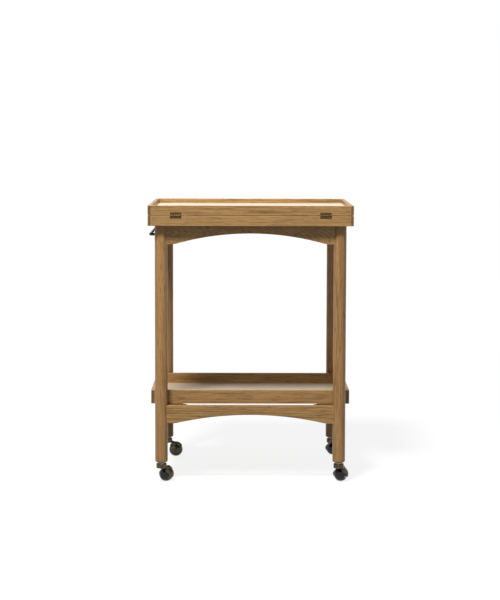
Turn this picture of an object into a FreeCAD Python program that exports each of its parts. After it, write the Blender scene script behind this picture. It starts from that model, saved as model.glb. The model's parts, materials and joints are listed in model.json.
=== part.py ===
import FreeCAD, Part
import math
import os
import re

import Sketcher

# Room service table: four round legs on ball casters, arched rails, a fixed leaf with a tray leaf hinged
# on its front edge that folds out forwards, a lower tray and a bent iron push handle at the left end.
# Millimetres. +X is right, +Y is back and +Z is up, as the photograph sees it; the origin lies on the
# floor under the middle of the leaves.

SIZES = [
    # the whole table
    ("top_width", 530, "left to right size of both leaves"),
    ("top_depth", 400, "front to back size of both leaves"),
    ("foot_height", 55.5, "floor to the underside of the legs"),
    ("leg_length", 634.5, "legs, from the foot to the fixed leaf's board"),
    ("leg_diameter", 33, "round legs"),
    ("leg_inset", 33, "leg axes from the edges of the leaves"),
    ("foot_rounding", 4.5, "rounded rim of a leg's foot"),
    ("edge_rounding", 0.9, "eased edges of rails and rims"),
    # rails and their dowels
    ("rail_thickness", 18, "all eight rails"),
    ("rail_housing", 4, "depth that a rail's end is let into a round leg"),
    ("upper_rail_height", 63, "rails under the fixed leaf"),
    ("upper_arch_rise", 28.2, "rise of the arch in the upper front and back rails"),
    ("lower_rail_height", 46.8, "rails under the lower tray"),
    ("lower_arch_rise", 23, "rise of the arch in the lower front and back rails"),
    ("lower_rail_lift", 102.5, "foot of the legs to the underside of the lower rails"),
    ("arch_inset", 34, "ends of the arches from the leg axes"),
    ("dowel_diameter", 8, "beech dowels, two at each rail end"),
    ("dowel_in_rail", 17, "dowel depth in the rail"),
    ("dowel_in_leg", 8, "dowel depth in the leg"),
    ("dowel_inset", 12, "dowel axes from the rail's top and bottom edges"),
    ("side_rail_lift", 0.9, "lower side rails stand this much above the front rail and carry the tray"),
    # corner blocks and the screws through them
    ("block_leg", 58, "corner blocks, length along each rail"),
    ("block_height", 22, "corner blocks"),
    ("block_leg_gap", 0.5, "corner block's notch clear of the round leg"),
    ("block_screw_inset", 24, "block screws from both rails"),
    ("block_screw_length", 27, "block screws"),
    ("block_screw_radius", 2, "shank of the block screws"),
    ("block_screw_head", 4, "head radius of the block screws"),
    ("screw_slot_share", 0.3, "width and depth of a screw's slot, as a share of its head's radius"),
    # fixed leaf and folding tray leaf
    ("rim_thickness", 8.5, "rims of both leaves"),
    ("rim_rebate", 4, "depth of the rebate that holds a board"),
    ("fixed_leaf_height", 26.5, "rims of the fixed leaf"),
    ("fixed_board_thickness", 12.5, "board of the fixed leaf"),
    ("leaf_gap", 1, "shadow gap between the leaves"),
    ("top_leaf_height", 25, "rims of the folding tray leaf"),
    ("top_board_thickness", 12, "board of the folding tray leaf"),
    ("laminate_thickness", 1, "pale laminate on both trays"),
    ("buffer_radius", 4, "felt buffers between the leaves"),
    ("buffer_play", 0.1, "felt buffers to the folding leaf"),
    ("buffer_inset", 34, "felt buffers from the edges of the leaf"),
    # lower tray
    ("tray_side_step", 5, "lower tray's ends in from the ends of the leaves"),
    ("tray_leg_gap", 4.5, "lower tray's front and back from the legs"),
    ("tray_rim_height", 36, "rims of the lower tray"),
    ("tray_rim_thickness", 9, "rims of the lower tray"),
    ("tray_board_thickness", 7, "board of the lower tray"),
    # hinges on the front of the leaves
    ("hinge_inset", 72, "middle of a hinge from the end of the leaves"),
    ("hinge_width", 29, "hinge plates"),
    ("hinge_plate_height", 8.3, "hinge plates, from the pin's axis"),
    ("hinge_plate_thickness", 1.2, "hinge plates, let in flush"),
    ("hinge_axis_out", 0.6, "pin's axis in front of the leaves"),
    ("knuckle_radius", 2.2, "hinge knuckles"),
    ("hinge_pin_radius", 1, "hinge pins"),
    ("hinge_running_gap", 0.05, "pin in the moving knuckle"),
    ("knuckle_gap", 0.35, "knuckles from each other and from the wood"),
    ("hinge_screw_pitch", 17, "screws of one hinge plate"),
    ("hinge_screw_drop", 5.2, "hinge screws from the pin's axis"),
    ("hinge_screw_length", 7.5, "hinge screws"),
    ("hinge_screw_radius", 1, "shank of the hinge screws"),
    ("hinge_screw_head", 1.9, "head radius of the hinge screws"),
    # push handle
    ("rod_radius", 3.5, "iron rod of the handle"),
    ("handle_inset", 60, "the handle's two posts from the front and back of the leaves"),
    ("handle_drop", 39.4, "handle's axis below the fixed leaf's board"),
    ("handle_bend", 7, "bend radius at the rod's axis"),
    ("rosette_radius", 8, "iron rosettes against the side rail"),
    ("rosette_thickness", 2, "iron rosettes"),
    ("nut_width", 11, "handle nuts across the flats"),
    ("nut_thickness", 5, "handle nuts"),
    ("rod_end", 2, "threaded end past its nut"),
    # ball casters
    ("wheel_radius", 19, "ball wheels"),
    ("trail", 23.5, "swivel axis to the ball's centre"),
    ("axle_tilt", 1, "degrees that the open end of the axle points up"),
    ("wheel_back", 14, "ball's centre to its flat back, under the hood"),
    ("wheel_tread_edge", 6, "ball's centre to the start of the domed face"),
    ("wheel_cone_edge", 15.5, "ball's centre to the start of the hub's cone"),
    ("wheel_cone_radius", 9.5, "foot of the hub's cone"),
    ("wheel_dome_radius", 20.5, "curve of the face between tread and cone"),
    ("wheel_face", 18.7, "ball's centre to the end of the hub's cone"),
    ("wheel_face_radius", 5.5, "end of the hub's cone"),
    ("axle_radius", 2.5, "axles"),
    ("axle_running_gap", 0.06, "axle in the wheel's bore"),
    ("axle_head_radius", 3.8, "domed head of the axle"),
    ("axle_head_height", 1.8, "domed head of the axle"),
    ("axle_head_dome", 1.2, "height of the dome on that head"),
    ("axle_end_gap", 0.3, "wheel from the axle's head and from the hood's boss"),
    ("hood_gap", 0.5, "hood's inside from the ball"),
    ("hood_wall", 1.2, "hood's wall"),
    ("hood_plane_offset", 10.9, "ball's centre to the plane of the hood's lip"),
    ("hood_plane_tilt", 25.5, "degrees that the hood's lip leans over the wheel"),
    ("hood_bead", 1.8, "radius of the bead along the hood's lip"),
    ("hood_flare", 1.4, "the bead's centre line outside the hood's own curve"),
    ("hood_waist_half", 13, "half width of the hood at the height of the ball's centre"),
    ("hood_side_lean", 17, "degrees that the hood's sides spread from that height up"),
    ("hood_tongue", 7.5, "rounded end of the hood below the ball's centre"),
    ("axle_boss_radius", 5.5, "boss inside the hood that carries the axle"),
    ("collar_radius", 13.5, "swivel collar on the hood"),
    ("collar_base", 39.5, "floor to the underside of the swivel collar"),
    ("collar_rounding", 1.4, "rims of the swivel collar"),
    ("neck_start_radius", 8.5, "neck from the collar to the hood, at the swivel axis"),
    ("neck_end_radius", 6.5, "neck from the collar to the hood, over the ball"),
    ("neck_start_height", 39, "floor to the neck's centre line at the swivel axis"),
    ("neck_end_height", 35.5, "floor to the neck's centre line over the ball"),
    ("neck_side_step", 6, "neck's end beside the ball's middle"),
    ("stem_radius", 4, "swivel stems"),
    ("stem_in_leg", 36, "stem's length above the foot"),
    ("stem_running_gap", 0.05, "stem in its socket"),
    ("stem_foot", 7, "stem's length inside the collar"),
    ("stem_groove_down", 8, "snap groove from the top of the stem"),
    ("stem_groove_width", 3, "snap groove"),
    ("stem_groove_depth", 1, "snap groove, with sides at 45 degrees"),
    ("socket_wall", 1.5, "sleeves in the legs"),
    ("socket_depth", 38, "sleeves in the legs"),
    ("socket_flange_radius", 9.5, "flange of a sleeve under the leg"),
    ("socket_flange_thickness", 3.5, "flange of a sleeve under the leg"),
    ("swivel_gap", 0.4, "flange to the swivel collar"),
    ("swivel_front_left", 62.5, "degrees from +X to the way the caster trails"),
    ("swivel_front_right", 73.5, "degrees from +X to the way the caster trails"),
    ("swivel_back_left", 3, "degrees from +X to the way the caster trails"),
    ("swivel_back_right", 79, "degrees from +X to the way the caster trails"),
]

# Places that several pieces share, in terms of the sizes above.
LEG_RADIUS = "(leg_diameter / 2)"
LEG_X = "(top_width / 2 - leg_inset)"
LEG_Y = "(top_depth / 2 - leg_inset)"
LEG_TOP = "(foot_height + leg_length)"
FIXED_TOP = f"({LEG_TOP} + fixed_board_thickness)"
TOP_BASE = f"({FIXED_TOP} + leaf_gap)"
FRONT = "(-top_depth / 2)"
LOWER_RAIL_BASE = "(foot_height + lower_rail_lift)"
LOWER_RAIL_TOP = f"({LOWER_RAIL_BASE} + lower_rail_height)"
TRAY_BASE = f"({LOWER_RAIL_TOP} + side_rail_lift)"
RAIL_REACH = f"({LEG_RADIUS} - rail_housing)"
ARCH_HALF = f"({LEG_X} - arch_inset)"
TRAY_WIDTH = "(top_width - 2 * tray_side_step)"
TRAY_DEPTH = f"(2 * ({LEG_Y} - {LEG_RADIUS} - tray_leg_gap))"
HINGE_X = "(top_width / 2 - hinge_inset)"
HANDLE_Y = "(top_depth / 2 - handle_inset)"
HANDLE_Z = f"({LEG_TOP} - handle_drop)"
HINGE_Y = f"({FRONT} - hinge_axis_out)"
HINGE_Z = f"({FIXED_TOP} + leaf_gap / 2)"
SOCKET_RADIUS = "(stem_radius + stem_running_gap + socket_wall)"
COLLAR_TOP = "(foot_height - socket_flange_thickness - swivel_gap)"
HOOD_INSIDE = "(wheel_radius + hood_gap)"
HOOD_OUTSIDE = f"({HOOD_INSIDE} + hood_wall)"

AXES = {
    "X": FreeCAD.Rotation(FreeCAD.Vector(0, 1, 0), 90),
    "Y": FreeCAD.Rotation(FreeCAD.Vector(1, 0, 0), -90),
    "Z": FreeCAD.Rotation(),
}
CORNERS = ("front_left", "front_right", "back_left", "back_right")

os.makedirs("parts", exist_ok=True)
doc = FreeCAD.newDocument("room_service_table")
sheet = doc.addObject("Spreadsheet::Sheet", "Sizes")
for row, (alias, number, meaning) in enumerate(SIZES, start=1):
    sheet.set(f"A{row}", meaning)
    sheet.set(f"B{row}", str(number))
    sheet.setAlias(f"B{row}", alias)
doc.recompute()

ALIASES = {alias for alias, number, meaning in SIZES}
nodes = []


# ---------------------------------------------------------------- helpers


def linked(text):
    """The expression with every size named as a cell of the sheet."""
    return re.sub(
        r"[a-z][a-z_]+", lambda found: "Sizes." + found[0] if found[0] in ALIASES else found[0], text
    )


def value(text):
    """The number that an expression comes to."""
    result = sheet.evalExpression(linked(str(text)))
    return float(getattr(result, "Value", result))


def bind(thing, **expressions):
    for name, text in expressions.items():
        thing.setExpression(name, linked(str(text)))


def place(thing, at, rotation=None):
    """Binds a thing's position; a fixed rotation goes in first."""
    if rotation is not None:
        thing.Placement = FreeCAD.Placement(FreeCAD.Vector(), rotation)
    for name, text in zip("xyz", at):
        thing.setExpression(f"Placement.Base.{name}", linked(str(text)))
    return thing


def box(name, low, size):
    """A box from its lowest corner."""
    made = doc.addObject("Part::Box", name)
    bind(made, Length=size[0], Width=size[1], Height=size[2])
    return place(made, low)


def cylinder(name, base, radius, length, axis="Z"):
    """A cylinder from the middle of its base, along one axis."""
    made = doc.addObject("Part::Cylinder", name)
    bind(made, Radius=radius, Height=length)
    return place(made, base, AXES[axis])


def sphere(name, centre, radius):
    made = doc.addObject("Part::Sphere", name)
    bind(made, Radius=radius)
    return place(made, centre)


def cut(name, base, *tools):
    """The base with every tool taken out of it."""
    for number, tool in enumerate(tools, start=1):
        made = doc.addObject("Part::Cut", name if number == len(tools) else f"{name}_cut_{number}")
        made.Base = base
        made.Tool = tool
        base = made
    return base


def fuse(name, *pieces):
    made = doc.addObject("Part::MultiFuse", name)
    made.Shapes = list(pieces)
    return made


def common(name, *pieces):
    made = doc.addObject("Part::MultiCommon", name)
    made.Shapes = list(pieces)
    return made


def group(name, *pieces):
    """Separate solids under one name."""
    made = doc.addObject("Part::Compound", name)
    made.Links = list(pieces)
    return made


def mirror(name, source, axis):
    """The source mirrored in the table's middle, left to right (X) or front to back (Y)."""
    made = doc.addObject("Part::Mirroring", name)
    made.Source = source
    made.Normal = FreeCAD.Vector(1, 0, 0) if axis == "X" else FreeCAD.Vector(0, 1, 0)
    return made


def in_four(name, source):
    """A group of the back right solids and their three mirror images."""
    pair = group(f"{name}_right", source, mirror(f"{name}_front_right", source, "Y"))
    return group(name, pair, mirror(f"{name}_left", pair, "X"))


def eased(name, base, wanted, radius="edge_rounding"):
    """The base with the straight edges that wanted(edge box) names rounded."""
    doc.recompute()
    made = doc.addObject("Part::Fillet", name)
    made.Base = base
    chosen = []
    for number, edge in enumerate(base.Shape.Edges, start=1):
        if isinstance(edge.Curve, Part.Line) and wanted(edge.BoundBox):
            chosen.append((number, value(radius), value(radius)))
    made.Edges = chosen
    return made


def lengthwise(axis):
    """Picks the edges that run along one axis."""
    others = [other for other in "XYZ" if other != axis]
    return lambda room: all(getattr(room, f"{other}Length") < 0.01 for other in others)


def sketch_on(body, role, name):
    made = body.newObject("Sketcher::SketchObject", name)
    support = next(feature for feature in body.Origin.OriginFeatures if feature.Role == role)
    made.AttachmentSupport = [(support, "")]
    made.MapMode = "FlatFace"
    return made


def arc_centre(start, end, radius, side):
    """The centre of the short arc from start to end, to the left of its way for side 1 and right for -1."""
    chord = end - start
    middle = (start + end) * 0.5
    left = FreeCAD.Vector(-chord.y, chord.x, 0).normalize()
    return middle + left * side * math.sqrt(radius**2 - (chord.Length / 2) ** 2)


def outline(sketch, corners, closed=True):
    """Lines and arcs through corners: (x, y), or (x, y, radius, side) where an arc leaves the corner."""
    points = [FreeCAD.Vector(value(corner[0]), value(corner[1]), 0) for corner in corners]
    edges = len(corners) if closed else len(corners) - 1
    ends = []
    for number in range(edges):
        start, end = points[number], points[(number + 1) % len(points)]
        corner = corners[number]
        if len(corner) == 2:
            sketch.addGeometry(Part.LineSegment(start, end), False)
            ends.append((1, 2))
            continue
        radius, side = value(corner[2]), corner[3]
        centre = arc_centre(start, end, radius, side)
        angles = [math.atan2(point.y - centre.y, point.x - centre.x) for point in (start, end)]
        circle = Part.Circle(centre, FreeCAD.Vector(0, 0, 1), radius)
        sketch.addGeometry(Part.ArcOfCircle(circle, *angles[::side]), False)
        ends.append((1, 2) if side == 1 else (2, 1))
    for number in range(edges if closed else edges - 1):
        following = (number + 1) % edges
        sketch.addConstraint(
            Sketcher.Constraint("Coincident", number, ends[number][1], following, ends[following][0])
        )
    for number, corner in enumerate(corners):
        edge, end = (number, ends[number][0]) if number < edges else (number - 1, ends[number - 1][1])
        for kind, coordinate in (("DistanceX", corner[0]), ("DistanceY", corner[1])):
            held = sketch.addConstraint(Sketcher.Constraint(kind, -1, 1, edge, end, value(coordinate)))
            sketch.setExpression(f"Constraints[{held}]", linked(str(coordinate)))
        if len(corner) == 4:
            held = sketch.addConstraint(Sketcher.Constraint("Radius", number, value(corner[2])))
            sketch.setExpression(f"Constraints[{held}]", linked(str(corner[2])))


def turned(name, corners):
    """A body turned about its own Z axis from a profile of (radius, height) corners."""
    body = doc.addObject("PartDesign::Body", name)
    profile = sketch_on(body, "XZ_Plane", f"{name}_profile")
    outline(profile, corners)
    solid = body.newObject("PartDesign::Revolution", f"{name}_turning")
    solid.Profile = profile
    solid.ReferenceAxis = (profile, ["V_Axis"])
    solid.Angle = 360
    return body


def extruded(name, role, corners, length):
    """A body padded from an outline on one of its origin planes."""
    body = doc.addObject("PartDesign::Body", name)
    face = sketch_on(body, role, f"{name}_outline")
    outline(face, corners)
    pad = body.newObject("PartDesign::Pad", f"{name}_pad")
    pad.Profile = face
    bind(pad, Length=length)
    return body


def node(thing, label):
    """Marks a finished piece; its label names its file."""
    thing.Label = label
    nodes.append(thing)
    return thing


# ---------------------------------------------------------------- rails, dowels and legs


def dowel(name, along, level):
    """One dowel of the back right leg, along the wide (X) or the deep (Y) rail."""
    length = "dowel_in_rail + dowel_in_leg"
    if along == "X":
        base = (f"{LEG_X} - {RAIL_REACH} - dowel_in_rail", LEG_Y, level)
    else:
        base = (LEG_X, f"{LEG_Y} - {RAIL_REACH} - dowel_in_rail", level)
    return cylinder(name, base, "dowel_diameter / 2", length, along)


def all_dowels():
    made = []
    for along in "XY":
        for tier, base, height in (
            ("upper", f"({LEG_TOP} - upper_rail_height)", "upper_rail_height"),
            ("lower", LOWER_RAIL_BASE, "lower_rail_height"),
        ):
            made.append(dowel(f"dowel_{tier}_{along}_low", along, f"{base} + dowel_inset"))
            made.append(dowel(f"dowel_{tier}_{along}_high", along, f"{base} + {height} - dowel_inset"))
    return in_four("dowels", group("dowels_back_right", *made))


def wide_rail(name, low, height, rise, dowels):
    """A back rail, with its arch cut by a flat cylinder."""
    half = f"({LEG_X} - {RAIL_REACH})"
    plank = box(
        f"{name}_plank",
        (f"-{half}", f"{LEG_Y} - rail_thickness / 2", low),
        (f"2 * {half}", "rail_thickness", height),
    )
    soft = eased(f"{name}_soft", plank, lengthwise("X"))
    radius = f"(({ARCH_HALF} ^ 2 + {rise} ^ 2) / (2 * {rise}))"
    arch = cylinder(
        f"{name}_arch",
        ("0", f"{LEG_Y} - rail_thickness", f"{low} + {rise} - {radius}"),
        radius,
        "2 * rail_thickness",
        "Y",
    )
    return cut(name, soft, arch, dowels)


def deep_rail(name, low, height, dowels):
    """A right rail, straight."""
    half = f"({LEG_Y} - {RAIL_REACH})"
    plank = box(
        f"{name}_plank",
        (f"{LEG_X} - rail_thickness / 2", f"-{half}", low),
        ("rail_thickness", f"2 * {half}", height),
    )
    return cut(name, eased(f"{name}_soft", plank, lengthwise("Y")), dowels)


def leg_blank():
    """The back right leg before its rails are let in, with the bore for the caster's sleeve."""
    blank = turned(
        "leg_blank",
        [
            (SOCKET_RADIUS, "0"),
            (f"{LEG_RADIUS} - foot_rounding", "0", "foot_rounding", 1),
            (LEG_RADIUS, "foot_rounding"),
            (LEG_RADIUS, "leg_length"),
            ("0", "leg_length"),
            ("0", "socket_depth"),
            (SOCKET_RADIUS, "socket_depth"),
        ],
    )
    return place(blank, (LEG_X, LEG_Y, "foot_height"))


dowels = node(all_dowels(), "rail_dowels")
upper_back = wide_rail(
    "upper_back", f"({LEG_TOP} - upper_rail_height)", "upper_rail_height", "upper_arch_rise", dowels
)
lower_back = wide_rail("lower_back", LOWER_RAIL_BASE, "lower_rail_height", "lower_arch_rise", dowels)
upper_right = deep_rail("upper_right", f"({LEG_TOP} - upper_rail_height)", "upper_rail_height", dowels)
lower_right = deep_rail("lower_right", LOWER_RAIL_BASE, "lower_rail_height + side_rail_lift", dowels)
node(upper_back, "upper_rail_back")
node(lower_back, "lower_rail_back")
node(upper_right, "upper_rail_right")
node(lower_right, "lower_rail_right")
node(mirror("upper_front", upper_back, "Y"), "upper_rail_front")
node(mirror("lower_front", lower_back, "Y"), "lower_rail_front")
node(mirror("lower_left", lower_right, "X"), "lower_rail_left")
upper_left = mirror("upper_left", upper_right, "X")

leg = cut("leg", leg_blank(), upper_back, upper_right, lower_back, lower_right, dowels)
node(leg, "leg_back_right")
node(mirror("leg_left", leg, "X"), "leg_back_left")
node(mirror("leg_front", leg, "Y"), "leg_front_right")
node(mirror("leg_front_left", mirror("leg_step", leg, "X"), "Y"), "leg_front_left")


# ---------------------------------------------------------------- corner blocks and their screws


def screw(name, length, radius, head):
    """A countersunk slotted screw on its own Z axis, its flat head at zero and its point upwards."""
    body = turned(
        name,
        [
            ("0", "0"),
            (head, "0"),
            (radius, f"{head} - {radius}"),
            (radius, f"{length} - 2 * {radius}"),
            ("0", length),
        ],
    )
    doc.recompute()
    slot = sketch_on(body, "XY_Plane", f"{name}_slot")
    half_width = f"({head} * screw_slot_share / 2)"
    reach = f"(2 * {head})"
    outline(
        slot,
        [
            (f"-{reach}", f"-{half_width}"),
            (reach, f"-{half_width}"),
            (reach, half_width),
            (f"-{reach}", half_width),
        ],
    )
    pocket = body.newObject("PartDesign::Pocket", f"{name}_drive")
    pocket.Profile = slot
    pocket.Reversed = True
    bind(pocket, Length=f"{head} * screw_slot_share")
    return body


def block_set(name, top):
    """The back right corner block under a given height, and the screw that goes up through it."""
    corner_x = f"({LEG_X} - rail_thickness / 2)"
    corner_y = f"({LEG_Y} - rail_thickness / 2)"
    blank = extruded(
        f"{name}_blank",
        "XY_Plane",
        [("0", "0"), ("-block_leg", "0"), ("0", "-block_leg")],
        "block_height",
    )
    place(blank, (corner_x, corner_y, f"{top} - block_height"))
    post = cylinder(
        f"{name}_notch",
        (LEG_X, LEG_Y, f"{top} - 2 * block_height"),
        f"{LEG_RADIUS} + block_leg_gap",
        "3 * block_height",
    )
    fixing = screw(f"{name}_screw", "block_screw_length", "block_screw_radius", "block_screw_head")
    place(
        fixing,
        (f"{corner_x} - block_screw_inset", f"{corner_y} - block_screw_inset", f"{top} - block_height"),
    )
    notched = cut(f"{name}_notched", blank, post)
    blocks = in_four(f"{name}_blocks", cut(f"{name}_block", notched, fixing))
    return blocks, in_four(f"{name}_screws", fixing)


upper_blocks, leaf_screws = block_set("upper", LEG_TOP)
lower_blocks, tray_screws = block_set("lower", TRAY_BASE)
node(upper_blocks, "corner_blocks_upper")
node(lower_blocks, "corner_blocks_lower")
node(leaf_screws, "leaf_fixing_screws")
node(tray_screws, "tray_fixing_screws")


# ---------------------------------------------------------------- leaves and tray


def rims(name, width, depth, low, height, thickness, rebate_low, rebate_height):
    """Right and back rims: the side rims run through, and a rebate inside holds the board."""
    side = eased(
        f"{name}_side_soft",
        box(
            f"{name}_side_strip",
            (f"{width} / 2 - {thickness}", f"-{depth} / 2", low),
            (thickness, depth, height),
        ),
        lengthwise("Y"),
    )
    cross = eased(
        f"{name}_cross_soft",
        box(
            f"{name}_cross_strip",
            (f"{thickness} - {width} / 2", f"{depth} / 2 - {thickness}", low),
            (f"{width} - 2 * {thickness}", thickness, height),
        ),
        lengthwise("X"),
    )
    rebate = box(
        f"{name}_rebate",
        (
            f"{thickness} - rim_rebate - {width} / 2",
            f"{thickness} - rim_rebate - {depth} / 2",
            rebate_low,
        ),
        (
            f"{width} - 2 * ({thickness} - rim_rebate)",
            f"{depth} - 2 * ({thickness} - rim_rebate)",
            rebate_height,
        ),
    )
    return cut(f"{name}_side", side, rebate), cut(f"{name}_cross", cross, rebate)


def board(name, width, depth, low, thickness, rim, rebate="rim_rebate"):
    """A board that fills the space inside the rims and, where it has one, their rebate."""
    inset = f"({rim} - {rebate})"
    return box(
        name,
        (f"{inset} - {width} / 2", f"{inset} - {depth} / 2", low),
        (f"{width} - 2 * {inset}", f"{depth} - 2 * {inset}", thickness),
    )


fixed_side, fixed_cross = rims(
    "fixed_leaf",
    "top_width",
    "top_depth",
    f"({FIXED_TOP} - fixed_leaf_height)",
    "fixed_leaf_height",
    "rim_thickness",
    LEG_TOP,
    "fixed_board_thickness",
)
fixed_board = board(
    "fixed_board", "top_width", "top_depth", LEG_TOP, "fixed_board_thickness", "rim_thickness"
)
top_board = board("top_board", "top_width", "top_depth", TOP_BASE, "top_board_thickness", "rim_thickness")
top_side, top_cross = rims(
    "top_leaf",
    "top_width",
    "top_depth",
    TOP_BASE,
    "top_leaf_height",
    "rim_thickness",
    TOP_BASE,
    "top_board_thickness",
)
tray_side, tray_cross = rims(
    "tray",
    TRAY_WIDTH,
    TRAY_DEPTH,
    TRAY_BASE,
    "tray_rim_height",
    "tray_rim_thickness",
    TRAY_BASE,
    "tray_board_thickness",
)
tray_board = board(
    "tray_board_blank", TRAY_WIDTH, TRAY_DEPTH, TRAY_BASE, "tray_board_thickness", "tray_rim_thickness"
)

for thing, label in (
    (fixed_side, "fixed_leaf_rim"),
    (top_side, "top_leaf_rim"),
    (tray_side, "tray_rim"),
):
    node(thing, f"{label}_right")
    node(mirror(f"{label}_mirrored", thing, "X"), f"{label}_left")
for thing, label in (
    (fixed_cross, "fixed_leaf_rim_back"),
    (top_cross, "top_leaf_rim_back"),
    (tray_cross, "tray_rim_back"),
):
    node(thing, label)
node(mirror("tray_front", tray_cross, "Y"), "tray_rim_front")
node(
    board(
        "top_laminate",
        "top_width",
        "top_depth",
        f"{TOP_BASE} + top_board_thickness",
        "laminate_thickness",
        "rim_thickness",
        "0",
    ),
    "top_leaf_laminate",
)
node(cut("tray_board_drilled", tray_board, tray_screws), "tray_board")
node(
    board(
        "tray_laminate_sheet",
        TRAY_WIDTH,
        TRAY_DEPTH,
        f"{TRAY_BASE} + tray_board_thickness",
        "laminate_thickness",
        "tray_rim_thickness",
        "0",
    ),
    "tray_laminate",
)
buffer = cylinder(
    "buffer",
    (
        "top_width / 2 - buffer_inset",
        "top_depth / 2 - buffer_inset",
        FIXED_TOP,
    ),
    "buffer_radius",
    "leaf_gap - buffer_play",
)
node(in_four("buffers", buffer), "leaf_buffers")


# ---------------------------------------------------------------- hinges


def knuckle(name, start, end, radius):
    """A round bar on the right hinge's axis, from one place of its width to another."""
    return cylinder(name, (f"{HINGE_X} + {start}", HINGE_Y, HINGE_Z), radius, f"{end} - ({start})", "X")


def hinge_screw(name, side, sign):
    """A screw of the right hinge's plate, 1 above or -1 below the axis, on either side of its middle."""
    made = screw(name, "hinge_screw_length", "hinge_screw_radius", "hinge_screw_head")
    at = (
        f"{HINGE_X} + {side} * hinge_screw_pitch / 2",
        FRONT,
        f"{HINGE_Z} + {sign} * hinge_screw_drop",
    )
    return place(made, at, AXES["Y"])


def plate(name, sign):
    """One plate of the right hinge without its knuckles, 1 above or -1 below the axis."""
    height = "(hinge_plate_height - leaf_gap / 2)"
    low = f"({HINGE_Z} + leaf_gap / 2)" if sign == 1 else f"({HINGE_Z} - hinge_plate_height)"
    return box(
        name,
        (f"{HINGE_X} - hinge_width / 2", FRONT, low),
        ("hinge_width", "hinge_plate_thickness", height),
    )


edge, third = "(hinge_width / 2)", "(hinge_width / 6)"
slack = "(knuckle_gap / 2)"
wide_knuckle = "knuckle_radius + knuckle_gap"
pin = knuckle("pin", f"-{edge}", edge, "hinge_pin_radius")
pin_room = knuckle("pin_room", f"-{edge}", edge, "hinge_pin_radius + hinge_running_gap")
middle_room = knuckle("middle_room", f"-{third} - {slack}", f"{third} + {slack}", wide_knuckle)
left_room = knuckle("left_room", f"-{edge} - {slack}", f"-{third} + {slack}", wide_knuckle)
right_room = knuckle("right_room", f"{third} - {slack}", f"{edge} + {slack}", wide_knuckle)
groove = knuckle("groove", f"-{edge} - {slack}", f"{edge} + {slack}", wide_knuckle)

fixed_screws = group(
    "fixed_screws", hinge_screw("fixed_screw_a", -1, -1), hinge_screw("fixed_screw_b", 1, -1)
)
moving_screws = group(
    "moving_screws", hinge_screw("moving_screw_a", -1, 1), hinge_screw("moving_screw_b", 1, 1)
)
fixed_bars = knuckle("fixed_bars", f"-{edge}", edge, "knuckle_radius")
moving_bar = knuckle("moving_bar", f"-{third} + {slack}", f"{third} - {slack}", "knuckle_radius")
fixed_plate = cut(
    "fixed_plate",
    fuse("fixed_plate_blank", plate("fixed_plate_flat", -1), fixed_bars),
    middle_room,
    pin,
    fixed_screws,
)
moving_flat = cut("moving_plate_flat", plate("moving_plate_sheet", 1), left_room, right_room)
moving_plate = cut(
    "moving_plate", fuse("moving_plate_blank", moving_flat, moving_bar), pin_room, moving_screws
)


def both(name, source):
    """The right hinge's piece and its mirror image on the left."""
    return group(name, source, mirror(f"{name}_left", source, "X"))


fixed_plates = both("fixed_plates", fixed_plate)
moving_plates = both("moving_plates", moving_plate)
all_fixed_screws = both("all_fixed_screws", fixed_screws)
all_moving_screws = both("all_moving_screws", moving_screws)
grooves = both("grooves", groove)
fixed_front = cut(
    "fixed_front",
    mirror("fixed_front_blank", fixed_cross, "Y"),
    both("fixed_beds", plate("fixed_bed", -1)),
    grooves,
    all_fixed_screws,
)
top_front = cut(
    "top_front",
    mirror("top_front_blank", top_cross, "Y"),
    both("moving_beds", plate("moving_bed", 1)),
    grooves,
    all_moving_screws,
)
node(cut("fixed_board_drilled", fixed_board, leaf_screws, all_fixed_screws), "fixed_leaf_board")
node(cut("top_board_drilled", top_board, all_moving_screws), "top_leaf_board")
node(fixed_front, "fixed_leaf_rim_front")
node(top_front, "top_leaf_rim_front")
node(fixed_plates, "hinge_plates_fixed")
node(moving_plates, "hinge_plates_moving")
node(both("pins", pin), "hinge_pins")
node(all_fixed_screws, "hinge_screws_fixed")
node(all_moving_screws, "hinge_screws_moving")


# ---------------------------------------------------------------- push handle


def handle_rod():
    """The bent rod. Its frame lies at the end of the posts, with the rod reaching out along -X."""
    outer = "top_width / 2 - rod_radius"
    inner = f"({LEG_X} - rail_thickness / 2 - nut_thickness - rod_end)"
    reach = f"({outer} - {inner})"
    half = HANDLE_Y
    body = doc.addObject("PartDesign::Body", "handle")
    path = sketch_on(body, "XY_Plane", "handle_path")
    outline(
        path,
        [
            ("0", f"-{half}"),
            (f"handle_bend - {reach}", f"-{half}", "handle_bend", -1),
            (f"-{reach}", f"handle_bend - {half}"),
            (f"-{reach}", f"{half} - handle_bend", "handle_bend", -1),
            (f"handle_bend - {reach}", half),
            ("0", half),
        ],
        closed=False,
    )
    section = sketch_on(body, "YZ_Plane", "handle_section")
    section.addGeometry(
        Part.Circle(FreeCAD.Vector(-value(half), 0, 0), FreeCAD.Vector(0, 0, 1), value("rod_radius")), False
    )
    for held, text in (
        (Sketcher.Constraint("Radius", 0, value("rod_radius")), "rod_radius"),
        (Sketcher.Constraint("DistanceX", -1, 1, 0, 3, -value(half)), f"-{half}"),
        (Sketcher.Constraint("DistanceY", -1, 1, 0, 3, 0), "0"),
    ):
        number = section.addConstraint(held)
        section.setExpression(f"Constraints[{number}]", linked(text))
    doc.recompute()
    pipe = body.newObject("PartDesign::AdditivePipe", "handle_pipe")
    pipe.Profile = section
    pipe.Spine = (path, [f"Edge{number}" for number in range(1, len(path.Shape.Edges) + 1)])
    return place(body, (f"-{inner}", "0", HANDLE_Z))


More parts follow.
